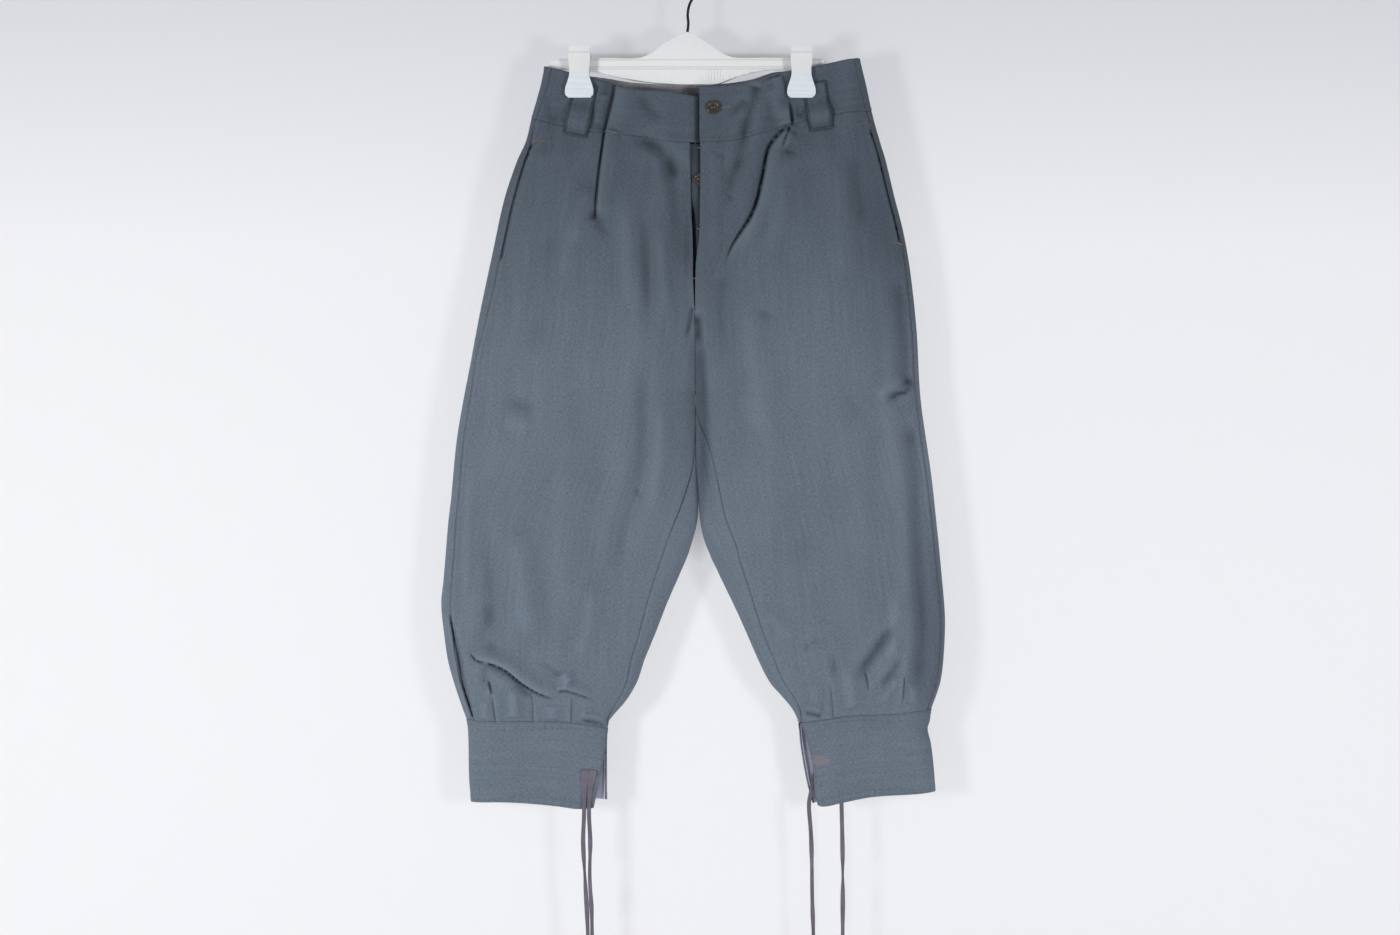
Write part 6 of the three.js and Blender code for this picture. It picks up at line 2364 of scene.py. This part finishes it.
@dataclass(frozen=True)
class Button:
    """One sewn four-hole button, sunk by a distance below the foremost cloth round it."""

    name: str
    at: Point
    radius: float
    thickness: float
    sunk: float
    hole: float = 1.0
    hole_from_middle: float = 2.2
    dish: float = 0.62
    dish_depth: float = 0.55

    def back(self) -> float:
        """The y of its back."""
        return foremost_y(*self.at, self.radius) + self.sunk

    def disc(self, finishes: Finishes) -> bpy.types.Object:
        """The dished disc with its four holes."""
        x, down = self.at
        turned = (math.radians(90), 0, 0)
        middle = Vector((x, self.back() - self.thickness / 2, -down)) * MM
        deselect_all()
        bpy.ops.mesh.primitive_cylinder_add(
            vertices=56, radius=self.radius * MM, depth=self.thickness * MM, location=middle, rotation=turned
        )
        made = bpy.context.object
        made.name = f"{self.name}_horn"
        bpy.ops.object.transform_apply(location=True, rotation=True, scale=True)
        bpy.ops.object.mode_set(mode="EDIT")
        bpy.ops.mesh.select_mode(type="FACE")
        pick_faces(made, lambda at, normal: normal.y < -0.9)
        bpy.ops.mesh.inset(thickness=0.5 * MM, depth=0.0)
        bpy.ops.mesh.inset(thickness=(1 - self.dish) * self.radius * MM * 0.5, depth=0.0)
        bpy.ops.mesh.inset(thickness=0.5 * MM, depth=-self.dish_depth * MM)
        bpy.ops.object.mode_set(mode="OBJECT")
        finished(made, 0.35, 30, [finishes.horn])
        for index in range(4):
            angle = math.radians(45 + 90 * index)
            away = self.hole_from_middle * MM * Vector((math.cos(angle), 0, math.sin(angle)))
            deselect_all()
            bpy.ops.mesh.primitive_cylinder_add(
                vertices=18, radius=self.hole * MM, depth=3 * self.thickness * MM, location=middle + away,
                rotation=turned,
            )
            drill = bpy.context.object
            cut = made.modifiers.new("hole", "BOOLEAN")
            cut.object = drill
            cut.solver = "EXACT"
            deselect_all()
            made.select_set(True)
            bpy.context.view_layer.objects.active = made
            bpy.ops.object.modifier_apply(modifier=cut.name)
            bpy.data.objects.remove(drill)
        bpy.ops.object.shade_smooth_by_angle(angle=math.radians(35))
        return made

    def thread(self, joined: Joined) -> None:
        """Two bars of thread through the holes, of two strands each."""
        x, down = self.at
        reach = self.hole_from_middle * math.sqrt(0.5)
        sewn = Thread(radius=0.42)
        y = self.back() - self.thickness + self.dish_depth + 0.3
        for side in (-1, 1):
            for strand in (-0.35, 0.35):
                across = x + side * reach + strand
                ends = np.array([[(across, y, -down - reach), (across, y, -down + reach)]])
                joined.add(*sewn.mesh(ends, np.array([[0.0, -1.0, 0.0]])))

    def build(self, finishes: Finishes, joined: Joined) -> None:
        """Makes the button and its thread."""
        self.thread(joined)
        dress(self.disc(finishes), "button", self.name)


def foremost_y(x: float, down: float, radius: float) -> float:
    """The foremost y of the garment's front under a disc."""
    angles = np.linspace(0, 2 * np.pi, 33)
    rings = [front_y(x + share * radius * np.cos(angles), down + share * radius * np.sin(angles))
             for share in (0.25, 0.5, 0.75, 1)]
    return float(min(ring.min() for ring in rings))


BUTTONS = (
    Button("waist_button", (32.5, 190), 8.6, 3.2, -0.3),
    Button("fly_button", (14.6, 282), 7.2, 2.6, PANEL_THICK + 3.3),
)


def place_camera() -> None:
    """The photograph's view: level, square on, a little above the thighs."""
    data = bpy.data.cameras.new("camera")
    data.lens = 50
    data.sensor_width = 36
    camera = bpy.data.objects.new("camera", data)
    camera.location = (0.0156, -2.528, -0.65485)
    camera.rotation_euler = (math.radians(90), 0, 0)
    bpy.context.scene.collection.objects.link(camera)
    bpy.context.scene.camera = camera


# Painted shadows on the wall, where its glow is dimmed: behind the fork, and in a flat band above the
# hanger's bar
FORK_SHADOW = Spot(0.0125, -0.62, 0.032, 0.165, 0.8)
BAR_SHADOW = Spot(0.0, -0.1125, 1 / 6.2, 0.0075, 0.6)


@dataclass(frozen=True)
class Studio:
    """A pale floor and a glowing wall, with painted shade and shadows in the wall's glow, and soft light from
    both sides in front.
    """

    floor_level: float = -1.62
    wall_y: float = 0.047
    wall_glow: float = 0.615

    def build(self) -> None:
        """Makes the stage, the lights and the world."""
        self.plane("floor", (0, -2.0, self.floor_level), (5.0, 4.2), (0, 0, 0), (0.86, 0.86, 0.87), 0.0)
        self.plane("wall", (0, self.wall_y, 0.0), (7.0, 6.0), (math.radians(90), 0, 0), (0.33, 0.33, 0.33),
                   self.wall_glow)
        self.light("key_left", (-1.5, -1.75, -0.8), (0.36, 0.44), 24)
        self.light("key_right", (1.4, -1.8, -0.8), (0.36, 0.44), 16.5)
        world = bpy.data.worlds.new("room")
        world.use_nodes = True
        world.node_tree.nodes["Background"].inputs["Color"].default_value = (0.93, 0.96, 1.0, 1)
        world.node_tree.nodes["Background"].inputs["Strength"].default_value = 0.24
        bpy.context.scene.world = world
        bpy.context.scene.view_settings.view_transform = "Standard"

    @staticmethod
    def plane(name: str, at: Point3, size: Point, turn: Point3, colour: Colour, glow: float) -> None:
        """A stage plane that is only seen from its front. Its glow is painted darker towards the top, with
        painted shadows behind the fork and above the bar.
        """
        deselect_all()
        bpy.ops.mesh.primitive_plane_add(size=1, location=at, rotation=turn)
        made = bpy.context.object
        made.name = name
        made.scale = (*size, 1)
        bpy.ops.object.transform_apply(location=True, rotation=True, scale=True)
        shader = Shader(name)
        fine = shader.noise(shader.place(30.0), detail=4.0)
        sideways, height = shader.front_view()
        # The wall's glow stands in for the light on it: painted shade towards the top, and painted shadows
        # behind the fork and above the bar
        high = ((height + 0.36) * 3.0).clamped()
        fork_shade = ((1 - FORK_SHADOW.away(sideways, height)) * 1.2).clamped() * FORK_SHADOW.strength
        above_bar = (1 - ((height - BAR_SHADOW.z) * (1 / BAR_SHADOW.high)) ** 2.0).clamped()
        along_bar = (1 - (sideways * (1 / BAR_SHADOW.wide)) ** 6.0).clamped()
        painted_glow = shader.mixed(high, (0.89, 0.895, 0.93), (0.66, 0.67, 0.73))
        painted_glow = shader.mixed(fork_shade, painted_glow, (0.1, 0.09, 0.085))
        painted_glow = shader.mixed(above_bar * along_bar * BAR_SHADOW.strength, painted_glow, (0.3, 0.27, 0.24))
        shader.set(
            Base_Color=shader.mixed(fine, colour, tuple(part * 0.985 for part in colour)),
            Roughness=0.85,
            Emission_Color=painted_glow,
            Emission_Strength=glow,
        )
        clear = shader.node("ShaderNodeBsdfTransparent", {}, {})
        behind = shader.node("ShaderNodeNewGeometry", {}, {}, "Backfacing")
        output = shader.tree.nodes["Material Output"]
        surface = Value(shader, shader.surface.outputs[0])
        mixed = shader.node("ShaderNodeMixShader", {}, {0: behind, 1: surface, 2: clear})
        shader.give(output.inputs["Surface"], mixed)
        made.data.materials.append(shader.material)

    @staticmethod
    def light(name: str, at: Point3, size: Point, power: float) -> None:
        """A softbox that faces the garment's middle."""
        data = bpy.data.lights.new(name, "AREA")
        data.shape = "RECTANGLE"
        data.size, data.size_y = size
        data.energy = power
        made = bpy.data.objects.new(name, data)
        made.location = at
        aim = Vector((0.02, 0, -0.85)) - Vector(at)
        made.rotation_euler = aim.to_track_quat("-Z", "Y").to_euler()
        bpy.context.scene.collection.objects.link(made)


def main() -> None:
    """Builds the garment piece by piece on the loaded frame."""
    logging.basicConfig(level=logging.INFO, format="%(name)s: %(message)s")
    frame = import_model()
    place_camera()
    finishes = Finishes.made()
    for tie in TIES:
        tie.build(finishes)
    stitching = Stitching()
    LegPanels().build(finishes, stitching)
    Waistband().build(finishes, stitching)
    FlyShield().build(finishes)
    Cuffs().build(finishes, stitching)
    for loop in BELT_LOOPS:
        loop.build(finishes, stitching)
    for first, last, width, yarn in BAR_TACKS:
        stitching.bar(first, last, width, yarn)
    for places, yarn in ROWS:
        stitching.line(places, yarn, FINE)
    for sewing in stitching.build(finishes):
        dress(sewing, "drill")
    Hanger().build(finishes)
    for half, x in zip(Half, DRAPE.clip_x):
        Clip(half, x).build(frame, finishes)
    button_thread = Joined()
    for button in BUTTONS:
        button.build(finishes, button_thread)
    dress(button_thread.build("button_thread", finishes.hole_thread), "tape")
    Studio().build()


if __name__ == "__main__":
    main()
